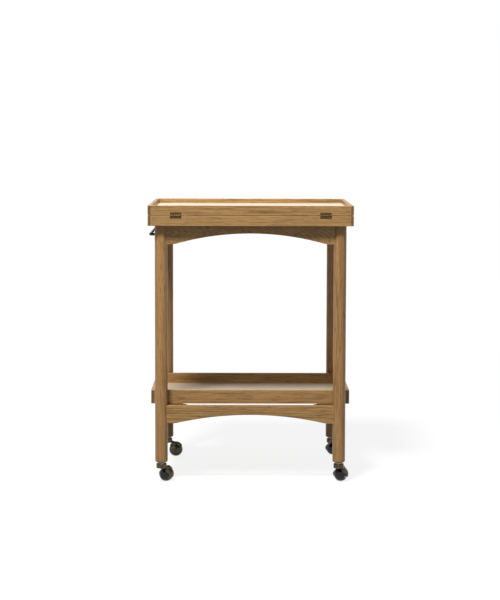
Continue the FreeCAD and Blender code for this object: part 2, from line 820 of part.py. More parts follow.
def handle_post_piece(name, start, length, radius, sides=None):
    """A round or six-sided piece on the front post, from a distance inside the rail's outer face."""
    y = f"-{HANDLE_Y}"
    if sides is None:
        return cylinder(name, (start, y, HANDLE_Z), radius, length, "X")
    made = doc.addObject("Part::Prism", name)
    made.Polygon = sides
    bind(made, Circumradius=radius, Height=length)
    return place(made, (start, y, HANDLE_Z), AXES["X"])


rod = node(handle_rod(), "handle_rod")
rosette = handle_post_piece(
    "rosette",
    f"-{LEG_X} - rail_thickness / 2 - rosette_thickness",
    "rosette_thickness",
    "rosette_radius",
)
nut = handle_post_piece(
    "nut",
    f"-{LEG_X} + rail_thickness / 2",
    "nut_thickness",
    f"nut_width / {2 * math.cos(math.pi / 6):.6f}",
    6,
)
rosette_drilled = cut("rosette_drilled", rosette, rod)
nut_drilled = cut("nut_drilled", nut, rod)
node(group("rosettes", rosette_drilled, mirror("rosette_back", rosette_drilled, "Y")), "handle_rosettes")
node(group("nuts", nut_drilled, mirror("nut_back", nut_drilled, "Y")), "handle_nuts")
node(cut("upper_left_drilled", upper_left, rod), "upper_rail_left")


# ---------------------------------------------------------------- casters


def caster_seat(corner):
    """Where a caster's frame lies: the swivel axis at the floor, turned to trail along its own +X."""
    sign_y = -1 if corner.startswith("front") else 1
    sign_x = -1 if corner.endswith("left") else 1
    at = FreeCAD.Vector(
        sign_x * value(LEG_X), sign_y * value(LEG_Y), 0
    )
    return FreeCAD.Placement(at, FreeCAD.Rotation(FreeCAD.Vector(0, 0, 1), value(f"swivel_{corner}")))


def axle_seat():
    """The axle's own frame inside a caster's: the ball's centre, with +Z out of the wheel's open face."""
    at = FreeCAD.Vector(value("trail"), 0, value("wheel_radius"))
    return FreeCAD.Placement(at, FreeCAD.Rotation(FreeCAD.Vector(1, 0, 0), value("axle_tilt") - 90))


def ball_wheel(name):
    """A ball with a flat back, a domed open face and a hub's cone on it, bored for the axle."""
    bore = "(axle_radius + axle_running_gap)"
    back_radius = "sqrt(wheel_radius ^ 2 - wheel_back ^ 2)"
    edge_radius = "sqrt(wheel_radius ^ 2 - wheel_tread_edge ^ 2)"
    return turned(
        name,
        [
            (bore, "-wheel_back"),
            (back_radius, "-wheel_back", "wheel_radius", 1),
            (edge_radius, "wheel_tread_edge", "wheel_dome_radius", 1),
            ("wheel_cone_radius", "wheel_cone_edge"),
            ("wheel_face_radius", "wheel_face"),
            (bore, "wheel_face"),
        ],
    )


def wheel_axle(name):
    """The axle with its domed head, from the hood's wall to past the wheel's face."""
    head_base = "(wheel_face + axle_end_gap)"
    dome_radius = "((axle_head_radius ^ 2 + axle_head_dome ^ 2) / (2 * axle_head_dome))"
    return turned(
        name,
        [
            ("0", f"-{HOOD_INSIDE}"),
            ("axle_radius", f"-{HOOD_INSIDE}"),
            ("axle_radius", head_base),
            ("axle_head_radius", head_base),
            (
                "axle_head_radius",
                f"{head_base} + axle_head_height - axle_head_dome",
                dome_radius,
                1,
            ),
            ("0", f"{head_base} + axle_head_height"),
        ],
    )


BALL_CENTRE = ("trail", "0", "wheel_radius")


def lip_frame(along):
    """The plane of the hood's lip, moved along its normal from the ball's centre; the normal is its Y."""
    lean = FreeCAD.Rotation(FreeCAD.Vector(1, 0, 0), -value("hood_plane_tilt"))
    centre = FreeCAD.Vector(value("trail"), 0, value("wheel_radius"))
    return FreeCAD.Placement(centre + lean.multVec(FreeCAD.Vector(0, value(along), 0)), lean)


def lip_bead(name):
    """The ring that the hood's flared lip is cut from."""
    bead = doc.addObject("Part::Torus", f"{name}_bead")
    middle = "(hood_plane_offset + hood_bead)"
    bind(bead, Radius1=f"sqrt({HOOD_OUTSIDE} ^ 2 - {middle} ^ 2) + hood_flare", Radius2="hood_bead")
    upright = FreeCAD.Placement(FreeCAD.Vector(), FreeCAD.Rotation(FreeCAD.Vector(1, 0, 0), 90))
    bead.Placement = lip_frame(f"-{middle}").multiply(upright)
    return bead


def hood_cap(name):
    """A sphere beyond the lip's leaning plane, with the lip's bead, within the shield-shaped outline."""
    reach = f"(2 * {HOOD_OUTSIDE})"
    beyond = doc.addObject("Part::Box", f"{name}_beyond")
    bind(beyond, Length=f"2 * {reach}", Width=reach, Height=f"2 * {reach}")
    corner = FreeCAD.Vector(-value(reach), -value(reach), -value(reach))
    shifted = FreeCAD.Placement(corner, FreeCAD.Rotation())
    beyond.Placement = lip_frame("-hood_plane_offset").multiply(shifted)
    shoulder = f"(hood_waist_half + {reach} * tan(hood_side_lean))"
    shield = extruded(
        f"{name}_shield",
        "XZ_Plane",
        [
            ("-hood_waist_half", "0", "((hood_waist_half ^ 2 + hood_tongue ^ 2) / (2 * hood_tongue))", 1),
            ("hood_waist_half", "0"),
            (shoulder, reach),
            (f"-{shoulder}", reach),
        ],
        reach,
    )
    place(shield, BALL_CENTRE)
    cap = common(f"{name}_cap_ball", sphere(f"{name}_ball", BALL_CENTRE, HOOD_OUTSIDE), beyond)
    return common(f"{name}_cap", fuse(f"{name}_beaded_cap", cap, lip_bead(name)), shield)


def hood_collar(name):
    """The swivel collar with its two rounded rims."""
    base = ("0", "0", "collar_base")
    blank = cylinder(f"{name}_collar_blank", base, "collar_radius", f"{COLLAR_TOP} - collar_base")
    doc.recompute()
    rounding = value("collar_rounding")
    rims = [
        number
        for number, rim in enumerate(blank.Shape.Edges, start=1)
        if isinstance(rim.Curve, Part.Circle)
    ]
    made = doc.addObject("Part::Fillet", f"{name}_collar")
    made.Base = blank
    made.Edges = [(number, rounding, rounding) for number in rims]
    return made


def hood_neck(name):
    """The tapered neck from the collar to its round end over the ball, trimmed under the collar."""
    start = FreeCAD.Vector(0, 0, value("neck_start_height"))
    end = FreeCAD.Vector(value("trail"), -value("neck_side_step"), value("neck_end_height"))
    drop = "(neck_start_height - neck_end_height)"
    neck = doc.addObject("Part::Cone", f"{name}_neck_blank")
    bind(
        neck,
        Radius1="neck_start_radius",
        Radius2="neck_end_radius",
        Height=f"sqrt(trail ^ 2 + neck_side_step ^ 2 + {drop} ^ 2)",
    )
    neck.Placement = FreeCAD.Placement(start, FreeCAD.Rotation(FreeCAD.Vector(0, 0, 1), end - start))
    tip = sphere(f"{name}_neck_tip", ("trail", "-neck_side_step", "neck_end_height"), "neck_end_radius")
    below = cylinder(f"{name}_below_collar", ("0", "0", "0"), "collar_radius", "collar_base")
    return cut(f"{name}_neck", fuse(f"{name}_neck_whole", neck, tip), below)


def hood_boss(name):
    """The boss that fills the space from the hood's wall to the wheel's flat back, round the axle."""
    boss = doc.addObject("Part::Cylinder", f"{name}_boss_blank")
    bind(boss, Radius="axle_boss_radius", Height=f"{HOOD_OUTSIDE} - wheel_back - axle_end_gap")
    outwards = FreeCAD.Placement(FreeCAD.Vector(0, 0, -value(HOOD_OUTSIDE)), FreeCAD.Rotation())
    boss.Placement = axle_seat().multiply(outwards)
    return common(f"{name}_boss", boss, sphere(f"{name}_boss_limit", BALL_CENTRE, HOOD_OUTSIDE))


def hood(name, axle):
    """The hood over the ball's inner side, joined by a neck to the swivel collar; bored for its axle."""
    outside = fuse(f"{name}_outside", hood_cap(name), hood_collar(name), hood_neck(name))
    hollowed = cut(f"{name}_hollowed", outside, sphere(f"{name}_hollow", BALL_CENTRE, HOOD_INSIDE))
    stem_base = ("0", "0", f"{COLLAR_TOP} - stem_foot")
    stem_hole = cylinder(f"{name}_stem_hole", stem_base, "stem_radius", "stem_foot")
    return cut(name, fuse(f"{name}_shaped", hollowed, hood_boss(name)), stem_hole, axle)


def stem(name):
    """The swivel stem, from inside the collar up into the leg, with a snap groove under its rounded top."""
    low = f"({COLLAR_TOP} - stem_foot)"
    top = "(foot_height + stem_in_leg)"
    return turned(
        name,
        [
            ("0", low),
            ("stem_radius", low),
            ("stem_radius", f"{top} - stem_groove_down - stem_groove_width - stem_groove_depth"),
            ("stem_radius - stem_groove_depth", f"{top} - stem_groove_down - stem_groove_width"),
            ("stem_radius - stem_groove_depth", f"{top} - stem_groove_down"),
            ("stem_radius", f"{top} - stem_groove_down + stem_groove_depth"),
            ("stem_radius", f"{top} - stem_radius", "stem_radius", 1),
            ("0", top),
        ],
    )


sleeve = turned(
    "sleeve",
    [
        (f"{SOCKET_RADIUS} - socket_wall", "-socket_flange_thickness"),
        ("socket_flange_radius", "-socket_flange_thickness"),
        ("socket_flange_radius", "0"),
        (SOCKET_RADIUS, "0"),
        (SOCKET_RADIUS, "socket_depth"),
        (f"{SOCKET_RADIUS} - socket_wall", "socket_depth"),
    ],
)
place(sleeve, (LEG_X, LEG_Y, "foot_height"))
node(in_four("sleeves", sleeve), "stem_sockets")

for corner in CORNERS:
    seat = caster_seat(corner)
    wheel = ball_wheel(f"wheel_{corner}")
    wheel.Placement = seat.multiply(axle_seat())
    pivot = wheel_axle(f"axle_{corner}")
    pivot.Placement = seat.multiply(axle_seat())
    tool = wheel_axle(f"axle_tool_{corner}")
    tool.Placement = axle_seat()
    shell = hood(f"hood_{corner}", tool)
    shell.Placement = seat
    post = stem(f"stem_{corner}")
    post.Placement = seat
    node(wheel, f"caster_wheel_{corner}")
    node(pivot, f"caster_axle_{corner}")
    node(shell, f"caster_hood_{corner}")
    node(post, f"caster_stem_{corner}")


# ---------------------------------------------------------------- check and write

doc.recompute()
for thing in doc.Objects:
    if {"Invalid", "Error"} & set(thing.State):
        raise RuntimeError(f"{thing.Name} failed: {thing.State}")
for piece in nodes:
    if piece.Shape.isNull() or not piece.Shape.isValid() or not piece.Shape.Solids:
        raise RuntimeError(f"{piece.Label} has no valid solid")
for piece in nodes:
    piece.Shape.exportStep(f"parts/{piece.Label}.step")
print(len(nodes), "nodes written")
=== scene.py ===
import json
import math

import bmesh
import bpy
from bpy.props import FloatProperty, FloatVectorProperty, IntProperty, PointerProperty
from mathutils import Euler, Matrix, Vector


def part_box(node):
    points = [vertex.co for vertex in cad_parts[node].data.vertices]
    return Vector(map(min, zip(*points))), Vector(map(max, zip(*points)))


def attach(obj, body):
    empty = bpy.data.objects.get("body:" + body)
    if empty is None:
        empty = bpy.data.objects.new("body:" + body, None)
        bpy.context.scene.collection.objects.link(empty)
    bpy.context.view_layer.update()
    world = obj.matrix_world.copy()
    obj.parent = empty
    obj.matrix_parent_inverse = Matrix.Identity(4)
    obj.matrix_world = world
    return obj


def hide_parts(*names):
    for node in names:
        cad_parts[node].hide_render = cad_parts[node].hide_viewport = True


bl_info = {
    "name": "Room service table",
    "version": (1, 0, 0),
    "blender": (4, 5, 0),
    "location": "3D View > Sidebar > Service table",
    "description": "Dresses the room service table: wood, laminate, hinges, push handle, casters, studio",
    "category": "Object",
}

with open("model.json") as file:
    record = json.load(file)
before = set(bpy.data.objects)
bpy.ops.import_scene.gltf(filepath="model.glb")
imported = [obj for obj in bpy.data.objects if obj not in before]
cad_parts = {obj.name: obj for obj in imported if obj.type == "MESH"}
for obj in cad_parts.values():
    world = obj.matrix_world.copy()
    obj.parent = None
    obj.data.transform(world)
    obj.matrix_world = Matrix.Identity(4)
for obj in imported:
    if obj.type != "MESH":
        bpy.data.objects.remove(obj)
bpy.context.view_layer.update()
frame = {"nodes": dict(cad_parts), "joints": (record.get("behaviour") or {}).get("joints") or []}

MM = 0.001
CORNERS = ("front_left", "front_right", "back_left", "back_right")
JOINTS = {joint["name"]: joint for joint in frame["joints"]}
GRAIN_TURNS = {
    "X": Euler((0.0, 0.0, 0.0)),
    "Y": Euler((0.0, 0.0, math.radians(-90.0))),
    "Z": Euler((0.0, math.radians(90.0), 0.0)),
}
LAMP_AIM = Vector((0.0, 0.0, 0.45))
GRAIN_AXES = {"X": Vector((1, 0, 0)), "Y": Vector((0, 1, 0)), "Z": Vector((0, 0, 1))}


def colour(code):
    """The scene-linear colour of a #RRGGBB code."""
    shares = [int(code[start : start + 2], 16) / 255 for start in (1, 3, 5)]
    return tuple(share / 12.92 if share <= 0.04045 else ((share + 0.055) / 1.055) ** 2.4 for share in shares)


def opaque(shade):
    return (*shade, 1.0)


# ---------------------------------------------------------------- settings


def length(name, description, millimetres):
    return FloatProperty(
        name=name, description=description, default=millimetres * MM, min=0.0, precision=5, unit="LENGTH"
    )


def shade(name, description, code):
    return FloatVectorProperty(
        name=name, description=description, default=colour(code), size=3, min=0.0, max=1.0, subtype="COLOR"
    )


class TableShape(bpy.types.PropertyGroup):
    """Small sizes that the solids leave to the dressed pieces."""

    arris: length("Arris", "Rounding of the edges of rims and rails", 0.9)
    foot_rounding: length("Foot rounding", "Rounded rim of a leg's foot", 4.5)
    arch_span: length("Arch span", "Width of the arches in the front and back rails", 396)
    upper_rise: length("Upper arch rise", "Rise of the arch under the fixed leaf", 28.2)
    lower_rise: length("Lower arch rise", "Rise of the arch under the lower tray", 23)
    handle_bend: length("Handle bend", "Bend radius at the rod's axis", 7)
    plate_proud: length("Plate proud", "Hinge plates in front of the rims", 0.15)
    hinge_width: length("Hinge width", "Hinge plates", 29)
    knuckle: length("Knuckle", "Radius of the hinge knuckles", 2.2)
    knuckle_gap: length("Knuckle gap", "Half of the gap between two knuckles", 0.175)
    screw_pitch: length("Screw pitch", "Screws of one hinge plate", 17)
    screw_drop: length("Screw drop", "Hinge screws from the pin's axis", 5.2)
    screw_head: length("Screw head", "Radius of a hinge screw's head", 1.9)
    screw_depth: length("Screw depth", "Height of a hinge screw's head", 0.5)
    plate_edge: length("Plate edge", "Rounded edges of hinge plates and knuckles", 0.25)
    plate_past: length("Plate past the pin", "Hinge plates beyond the pin's axis", 0.5)
    arch_steps: IntProperty(name="Arch steps", description="Facets along an arch", default=72, min=8)
    round_steps: IntProperty(
        name="Round steps", description="Facets round a leg or a wheel", default=96, min=16
    )


class TableFinish(bpy.types.PropertyGroup):
    """Colours of the finishes."""

    rim_early: shade("Rim, early wood", "Light wood of the rims", "#B99461")
    rim_late: shade("Rim, late wood", "Dark wood of the rims", "#765831")
    rail_early: shade("Rail, early wood", "Light wood of the rails", "#BF9962")
    rail_late: shade("Rail, late wood", "Dark wood of the rails", "#70522E")
    leg_early: shade("Leg, early wood", "Light wood of the legs", "#BB9260")
    leg_late: shade("Leg, late wood", "Dark wood of the legs", "#70502D")
    pore: shade("Pores", "Dark pores in all the wood", "#4A3420")
    lacquer: shade("Lacquer", "Amber tint of the lacquer", "#F0DDB8")
    # Painted shade: the lower corner blocks are plain wood given darker colours that stand in for the deep
    # shade under the tray, not a stain.
    painted_shade_block_early: shade("Wood in painted shade, early", "Light wood of the lower corner blocks", "#5A4630")
    painted_shade_block_late: shade("Wood in painted shade, late", "Dark wood of the lower corner blocks", "#3A2B1C")
    worn: shade("Worn arris", "Wood where the lacquer has rubbed thin", "#CDAA7C")
    plain_early: shade("Plain wood, early", "Light wood of boards and blocks", "#BC9A6C")
    plain_late: shade("Plain wood, late", "Dark wood of boards and blocks", "#93714A")
    laminate: shade("Laminate", "Pale laminate of the folding leaf", "#EBDDC6")
    # Painted shade: the lower tray has the same laminate as the leaf, given a darker colour for the shade
    # under the top leaf.
    laminate_tray_painted_shade: shade("Laminate, tray", "Laminate of the lower tray, darkened as painted shade", "#D2C2AA")
    brass: shade("Brass", "Darkened brass of the hinges", "#6B5538")
    brass_dark: shade("Brass, tarnished", "Tarnish on the brass", "#37291A")
    bronze: shade("Bronze", "Aged bronze of the caster hoods", "#5E5343")
    bronze_dark: shade("Bronze, tarnished", "Tarnish on the bronze", "#211D17")
    iron: shade("Iron", "Black paint on the push handle", "#0B0B0B")
    iron_worn: shade("Iron, worn", "Thin paint on the push handle", "#1C1A18")
    steel: shade("Steel", "Zinc-plated steel", "#85827A")
    steel_dark: shade("Steel, dull", "Dull patches on the zinc", "#5B5A56")
    wheel: shade("Wheel", "Black plastic of the wheels", "#101011")
    wheel_worn: shade("Wheel, worn", "Dusty, dulled plastic on the tread", "#262626")
    felt: shade("Felt", "Dark felt of the buffers", "#3B3A37")


class CasterShape(bpy.types.PropertyGroup):
    """Sizes of the ball wheel and its axle, from the ball's centre along the axle."""

    wheel_back: length("Wheel back", "Centre to the flat back", 14)
    tread_edge: length("Tread edge", "Centre to the start of the domed face", 6)
    dome_radius: length("Dome radius", "Curve of the domed face", 20.5)
    cone_edge: length("Cone edge", "Centre to the start of the hub's cone", 15.5)
    cone_radius: length("Cone radius", "Foot of the hub's cone", 9.5)
    cone_curve: length("Cone curve", "Curve of the hub's cone", 30)
    cone_shoulder: length("Cone shoulder", "Chamfer at the end of the hub's cone", 0.6)
    face: length("Face", "Centre to the end of the hub's cone", 18.7)
    face_radius: length("Face radius", "End of the hub's cone", 5.5)
    bore_radius: length("Bore radius", "Bore for the axle", 2.56)
    axle_radius: length("Axle radius", "Axle", 2.5)
    head_radius: length("Head radius", "Head of the axle", 3.8)
    head_height: length("Head height", "Head of the axle", 1.8)
    head_gap: length("Head gap", "Wheel to the head of the axle", 0.3)
    axle_inner: length("Axle inner end", "Centre to the axle's end in the hood", 19.5)
    hood_step: length("Hood step", "Size of the facets that soften the hood's joins", 0.55)


class StudioSetup(bpy.types.PropertyGroup):
    """Camera, lamps and floor."""

    camera_place: FloatVectorProperty(
        name="Camera place",
        description="Where the camera stands",
        default=(-0.0208, -4.2091, 0.9304),
        subtype="TRANSLATION",
        unit="LENGTH",
    )
    camera_down: FloatProperty(
        name="Camera down", description="Tilt below the horizon", default=math.radians(4.5), subtype="ANGLE"
    )
    camera_turn: FloatProperty(
        name="Camera turn", description="Turn to the right", default=math.radians(0.272), subtype="ANGLE"
    )
    camera_roll: FloatProperty(
        name="Camera roll", description="Roll about the view", default=math.radians(0.139), subtype="ANGLE"
    )
    focal: FloatProperty(
        name="Focal length",
        description="For a sensor 36 mm high",
        default=93.86,
        min=1.0,
        subtype="DISTANCE_CAMERA",
    )
    shift: FloatProperty(
        name="Shift", description="Upward shift, as a share of the sensor's height", default=-0.0835
    )
    ambient: FloatProperty(
        name="Ambient light", description="Level of the world's light on the table", default=0.1, min=0.0
    )
    key_power: FloatProperty(
        name="Key lamp", description="Large lamp high at the front left", default=176.0, unit="POWER"
    )
    top_power: FloatProperty(name="Top lamp", description="Lamp overhead", default=6.0, unit="POWER")
    fill_power: FloatProperty(
        name="Fill lamp", description="Weak lamp at the front right", default=3.0, unit="POWER"
    )
    floor_glow: FloatProperty(
        name="Floor glow", description="White that the floor adds for the camera", default=0.87, min=0.0
    )
    floor_shade: shade("Floor", "Pale floor", "#808080")


# ---------------------------------------------------------------- node trees


class Wiring:
    """Adds nodes to one tree and joins them. A value is a number, a tuple or another node's output."""

    def __init__(self, tree):
        self.tree = tree

    def node(self, kind, inputs, **settings):
        made = self.tree.nodes.new(kind)
        for name, value in settings.items():
            setattr(made, name, value)
        for socket, value in inputs.items():
            self.feed(made.inputs[socket], value)
        return made

    def feed(self, socket, value):
        if isinstance(value, bpy.types.NodeSocket):
            self.tree.links.new(value, socket)
        else:
            socket.default_value = value

    def math(self, operation, *values, clamp=False):
        made = self.node(
            "ShaderNodeMath", dict(enumerate(values)), operation=operation, use_clamp=clamp
        )
        return made.outputs[0]

    def vector(self, operation, *values):
        made = self.node("ShaderNodeVectorMath", dict(enumerate(values)), operation=operation)
        return made.outputs["Value" if operation in ("DOT_PRODUCT", "LENGTH") else "Vector"]

    def noise(self, vector, scale, detail=2.0, roughness=0.5):
        made = self.node(
            "ShaderNodeTexNoise",
            {"Vector": vector, "Scale": scale, "Detail": detail, "Roughness": roughness},
        )
        return made.outputs["Fac"]

    def smooth_range(self, value, low, high, start=0.0, end=1.0):
        made = self.node(
            "ShaderNodeMapRange",
            {"Value": value, "From Min": low, "From Max": high, "To Min": start, "To Max": end},
            interpolation_type="SMOOTHSTEP",
        )
        return made.outputs["Result"]

    def mix(self, share, first, second, blend="MIX"):
        made = self.tree.nodes.new("ShaderNodeMix")
        made.data_type = "RGBA"
        made.blend_type = blend
        self.feed(made.inputs[0], share)
        self.feed(made.inputs[6], first)
        self.feed(made.inputs[7], second)
        return made.outputs[2]

    def group(self, tree, **inputs):
        made = self.tree.nodes.new("ShaderNodeGroup")
        made.node_tree = tree
        for name, value in inputs.items():
            self.feed(made.inputs[name.replace("_", " ").capitalize()], value)
        return made


def shader_group(name, inputs, outputs):
    """A shader group with named sockets: (title, kind, default) going in and (title, kind) coming out."""
    tree = bpy.data.node_groups.new(name, "ShaderNodeTree")
    for title, kind, default in inputs:
        socket = tree.interface.new_socket(name=title, in_out="INPUT", socket_type=f"NodeSocket{kind}")
        socket.default_value = default
    for title, kind in outputs:
        tree.interface.new_socket(name=title, in_out="OUTPUT", socket_type=f"NodeSocket{kind}")
    given = tree.nodes.new("NodeGroupInput").outputs
    result = tree.nodes.new("NodeGroupOutput").inputs
    return tree, Wiring(tree), given, result


def wood_grain_group():
    """Growth rings round a pith that runs along the vector's X, with fibres, pores and end grain."""
    tree, wiring, given, result = shader_group(
        "Wood grain",
        [
            ("Vector", "Vector", (0, 0, 0)),
            ("Normal", "Vector", (0, 0, 1)),
            ("Grain axis", "Vector", (1, 0, 0)),
            ("Early wood", "Color", (0.5, 0.3, 0.15, 1)),
            ("Late wood", "Color", (0.2, 0.1, 0.05, 1)),
            ("Pore", "Color", (0.05, 0.03, 0.02, 1)),
            ("Ring spacing", "Float", 0.003),
            ("Figure", "Float", 4.0),
            ("Ring strength", "Float", 0.5),
        ],
        [("Color", "Color"), ("Roughness", "Float"), ("Height", "Float")],
    )
    along = given["Vector"]
    rings = wiring.node(
        "ShaderNodeTexWave",
        {
            "Vector": wiring.vector("MULTIPLY", along, (0.16, 1, 1)),
            "Scale": wiring.math("DIVIDE", math.tau / 20, given["Ring spacing"]),
            "Distortion": given["Figure"],
            "Detail": 2.0,
            "Detail Scale": 0.09,
            "Detail Roughness": 0.45,
        },
        wave_type="RINGS",
        rings_direction="X",
        wave_profile="SAW",
    ).outputs["Fac"]
    late = wiring.math("POWER", rings, 1.8)
    fibres = wiring.noise(wiring.vector("MULTIPLY", along, (0.03, 1, 1)), 380.0, 3.0, 0.7)
    pores = wiring.smooth_range(
        wiring.noise(wiring.vector("MULTIPLY", along, (0.05, 1, 1)), 750.0, 2.0), 0.54, 0.7
    )
    streaks = wiring.noise(wiring.vector("MULTIPLY", along, (0.02, 1, 1)), 170.0, 3.0, 0.6)
    cloud = wiring.noise(wiring.vector("MULTIPLY", along, (0.3, 1, 1)), 14.0, 2.0)
    share = wiring.math("MULTIPLY", late, given["Ring strength"])
    share = wiring.math("MULTIPLY_ADD", wiring.math("SUBTRACT", fibres, 0.5), 2.3, share)
    share = wiring.math("MULTIPLY_ADD", wiring.math("SUBTRACT", streaks, 0.5), 1.5, share)
    share = wiring.math("MULTIPLY_ADD", wiring.math("SUBTRACT", cloud, 0.42), 0.6, share, clamp=True)
    wood = wiring.mix(share, given["Early wood"], given["Late wood"])
    wood = wiring.mix(wiring.math("MULTIPLY", pores, 0.55), wood, given["Pore"])
    end = wiring.smooth_range(
        wiring.math("ABSOLUTE", wiring.vector("DOT_PRODUCT", given["Normal"], given["Grain axis"])), 0.6, 0.9
    )
    wood = wiring.mix(wiring.math("MULTIPLY", end, 0.75), wood, opaque(colour("#8C8474")), "MULTIPLY")
    wiring.feed(result["Color"], wood)
    wiring.feed(result["Roughness"], wiring.smooth_range(fibres, 0.2, 0.8, 0.4, 0.56))
    wiring.feed(result["Height"], wiring.math("MULTIPLY_ADD", pores, -0.8, fibres))
    return tree


def arris_wear_group():
    """How far the lacquer has rubbed off near the edges of a piece that fills a box."""
    tree, wiring, given, result = shader_group(
        "Arris wear",
        [
            ("Vector", "Vector", (0, 0, 0)),
            ("Low", "Vector", (0, 0, 0)),
            ("High", "Vector", (1, 1, 1)),
            ("Width", "Float", 0.002),
        ],
        [("Mask", "Float")],
    )
    nearest = wiring.vector(
        "MINIMUM",
        wiring.vector("SUBTRACT", given["Vector"], given["Low"]),
        wiring.vector("SUBTRACT", given["High"], given["Vector"]),
    )
    split = wiring.node("ShaderNodeSeparateXYZ", {"Vector": nearest}).outputs
    x, y, z = split["X"], split["Y"], split["Z"]
    second = wiring.math(
        "MAXIMUM",
        wiring.math("MINIMUM", x, y),
        wiring.math("MINIMUM", wiring.math("MAXIMUM", x, y), z),
    )
    patches = wiring.noise(given["Vector"], 26.0, 3.0, 0.6)
    reach = wiring.math("MULTIPLY", given["Width"], wiring.smooth_range(patches, 0.3, 0.7, 0.5, 1.5))
    edge = wiring.math("DIVIDE", second, reach)
    wiring.feed(result["Mask"], wiring.smooth_range(edge, 0.1, 1.0, 1.0, 0.0))
    return tree


def patina_group():
    """A metal or paint with darker patches, fine rubbing and an uneven gloss."""
    tree, wiring, given, result = shader_group(
        "Patina",
        [
            ("Vector", "Vector", (0, 0, 0)),
            ("Clean", "Color", (0.4, 0.3, 0.2, 1)),
            ("Tarnished", "Color", (0.1, 0.08, 0.05, 1)),
            ("Patch size", "Float", 0.004),
            ("Tarnish", "Float", 0.5),
            ("Smoothest", "Float", 0.3),
            ("Roughest", "Float", 0.6),
        ],
        [("Color", "Color"), ("Roughness", "Float"), ("Height", "Float")],
    )
    scale = wiring.math("DIVIDE", 1.0, given["Patch size"])
    patches = wiring.noise(given["Vector"], scale, 4.0, 0.62)
    specks = wiring.noise(given["Vector"], wiring.math("MULTIPLY", scale, 7.0), 2.0)
    share = wiring.math("ADD", wiring.math("SUBTRACT", patches, 0.5), given["Tarnish"])
    share = wiring.smooth_range(
        wiring.math("MULTIPLY_ADD", wiring.math("SUBTRACT", specks, 0.5), 0.35, share), 0.2, 0.8
    )
    wiring.feed(result["Color"], wiring.mix(share, given["Clean"], given["Tarnished"]))
    wiring.feed(
        result["Roughness"],
        wiring.math(
            "MULTIPLY_ADD",
            share,
            wiring.math("SUBTRACT", given["Roughest"], given["Smoothest"]),
            given["Smoothest"],
        ),
    )
    wiring.feed(result["Height"], wiring.math("MULTIPLY_ADD", specks, 0.5, patches))
    return tree


def dust_group():
    """Thin dust and scuffs: a mask that is strongest in soft patches and short scratches."""
    tree, wiring, given, result = shader_group(
        "Dust and scuffs",
        [("Vector", "Vector", (0, 0, 0)), ("Scale", "Float", 20.0)],
        [("Mask", "Float"), ("Scratches", "Float")],
    )
    patches = wiring.smooth_range(wiring.noise(given["Vector"], given["Scale"], 4.0, 0.6), 0.42, 0.75)
    turned = wiring.node(
        "ShaderNodeMapping", {"Vector": given["Vector"], "Rotation": (0, 0, 0.7), "Scale": (1, 14, 1)}
    ).outputs["Vector"]
    fine = wiring.noise(turned, wiring.math("MULTIPLY", given["Scale"], 4.0), 3.0, 0.7)
    wiring.feed(result["Mask"], patches)
    wiring.feed(result["Scratches"], wiring.smooth_range(fine, 0.62, 0.72))
    return tree


GROUPS = {
    "grain": wood_grain_group,
    "wear": arris_wear_group,
    "patina": patina_group,
    "dust": dust_group,
}
built_groups = {}


def group_named(key):
    if key not in built_groups:
        built_groups[key] = GROUPS[key]()
    return built_groups[key]


# ---------------------------------------------------------------- materials


def new_material(name):
    """A node material with one Principled shader, its wiring and the object's own coordinates."""
    material = bpy.data.materials.new(name)
    material.use_nodes = True
    shader = material.node_tree.nodes["Principled BSDF"]
    wiring = Wiring(material.node_tree)
    place = wiring.node("ShaderNodeTexCoord", {}).outputs
    return material, wiring, shader, place


def bump(wiring, shader, height, distance, strength=0.4):
    made = wiring.node("ShaderNodeBump", {"Height": height, "Distance": distance, "Strength": strength})
    wiring.feed(shader.inputs["Normal"], made.outputs["Normal"])


def wood(
    name,
    low,
    high,
    axis,
    early,
    late,
    pith,
    lean=(0.0, 0.0, 0.0),
    spacing=3.0,
    figure=4.0,
    rings=0.5,
    wear=0.0,
):
    """Lacquered wood of one piece. The pith passes pith (mm) from its middle, leaning by lean degrees."""
    finish = bpy.context.scene.table_finish
    material, wiring, shader, place = new_material(name)
    turn = GRAIN_TURNS[axis].to_matrix()
    tilt = Euler([math.radians(angle) for angle in lean]).to_matrix()
    whole = (tilt @ turn).to_4x4()
    offset = Vector(pith) * MM - whole @ ((low + high) / 2)
    mapping = wiring.node(
        "ShaderNodeMapping",
        {"Vector": place["Object"], "Location": offset, "Rotation": whole.to_euler()},
    )
    grain = wiring.group(
        group_named("grain"),
        vector=mapping.outputs["Vector"],
        normal=place["Normal"],
        grain_axis=GRAIN_AXES[axis],
        early_wood=opaque(early),
        late_wood=opaque(late),
        pore=opaque(finish.pore),
        ring_spacing=spacing * MM,
        figure=figure,
        ring_strength=rings,
    )
    shown = grain.outputs["Color"]
    if wear:
        edges = wiring.group(
            group_named("wear"), vector=place["Object"], low=low, high=high, width=wear * MM
        )
        shown = wiring.mix(wiring.math("MULTIPLY", edges.outputs["Mask"], 0.75), shown, opaque(finish.worn))
    wiring.feed(shader.inputs["Base Color"], shown)
    wiring.feed(shader.inputs["Roughness"], grain.outputs["Roughness"])
    shader.inputs["Specular IOR Level"].default_value = 0.25
    shader.inputs["Coat Weight"].default_value = 0.45
    shader.inputs["Coat Roughness"].default_value = 0.3
    shader.inputs["Coat Tint"].default_value = opaque(finish.lacquer)
    bump(wiring, shader, grain.outputs["Height"], 0.00012)
    return material


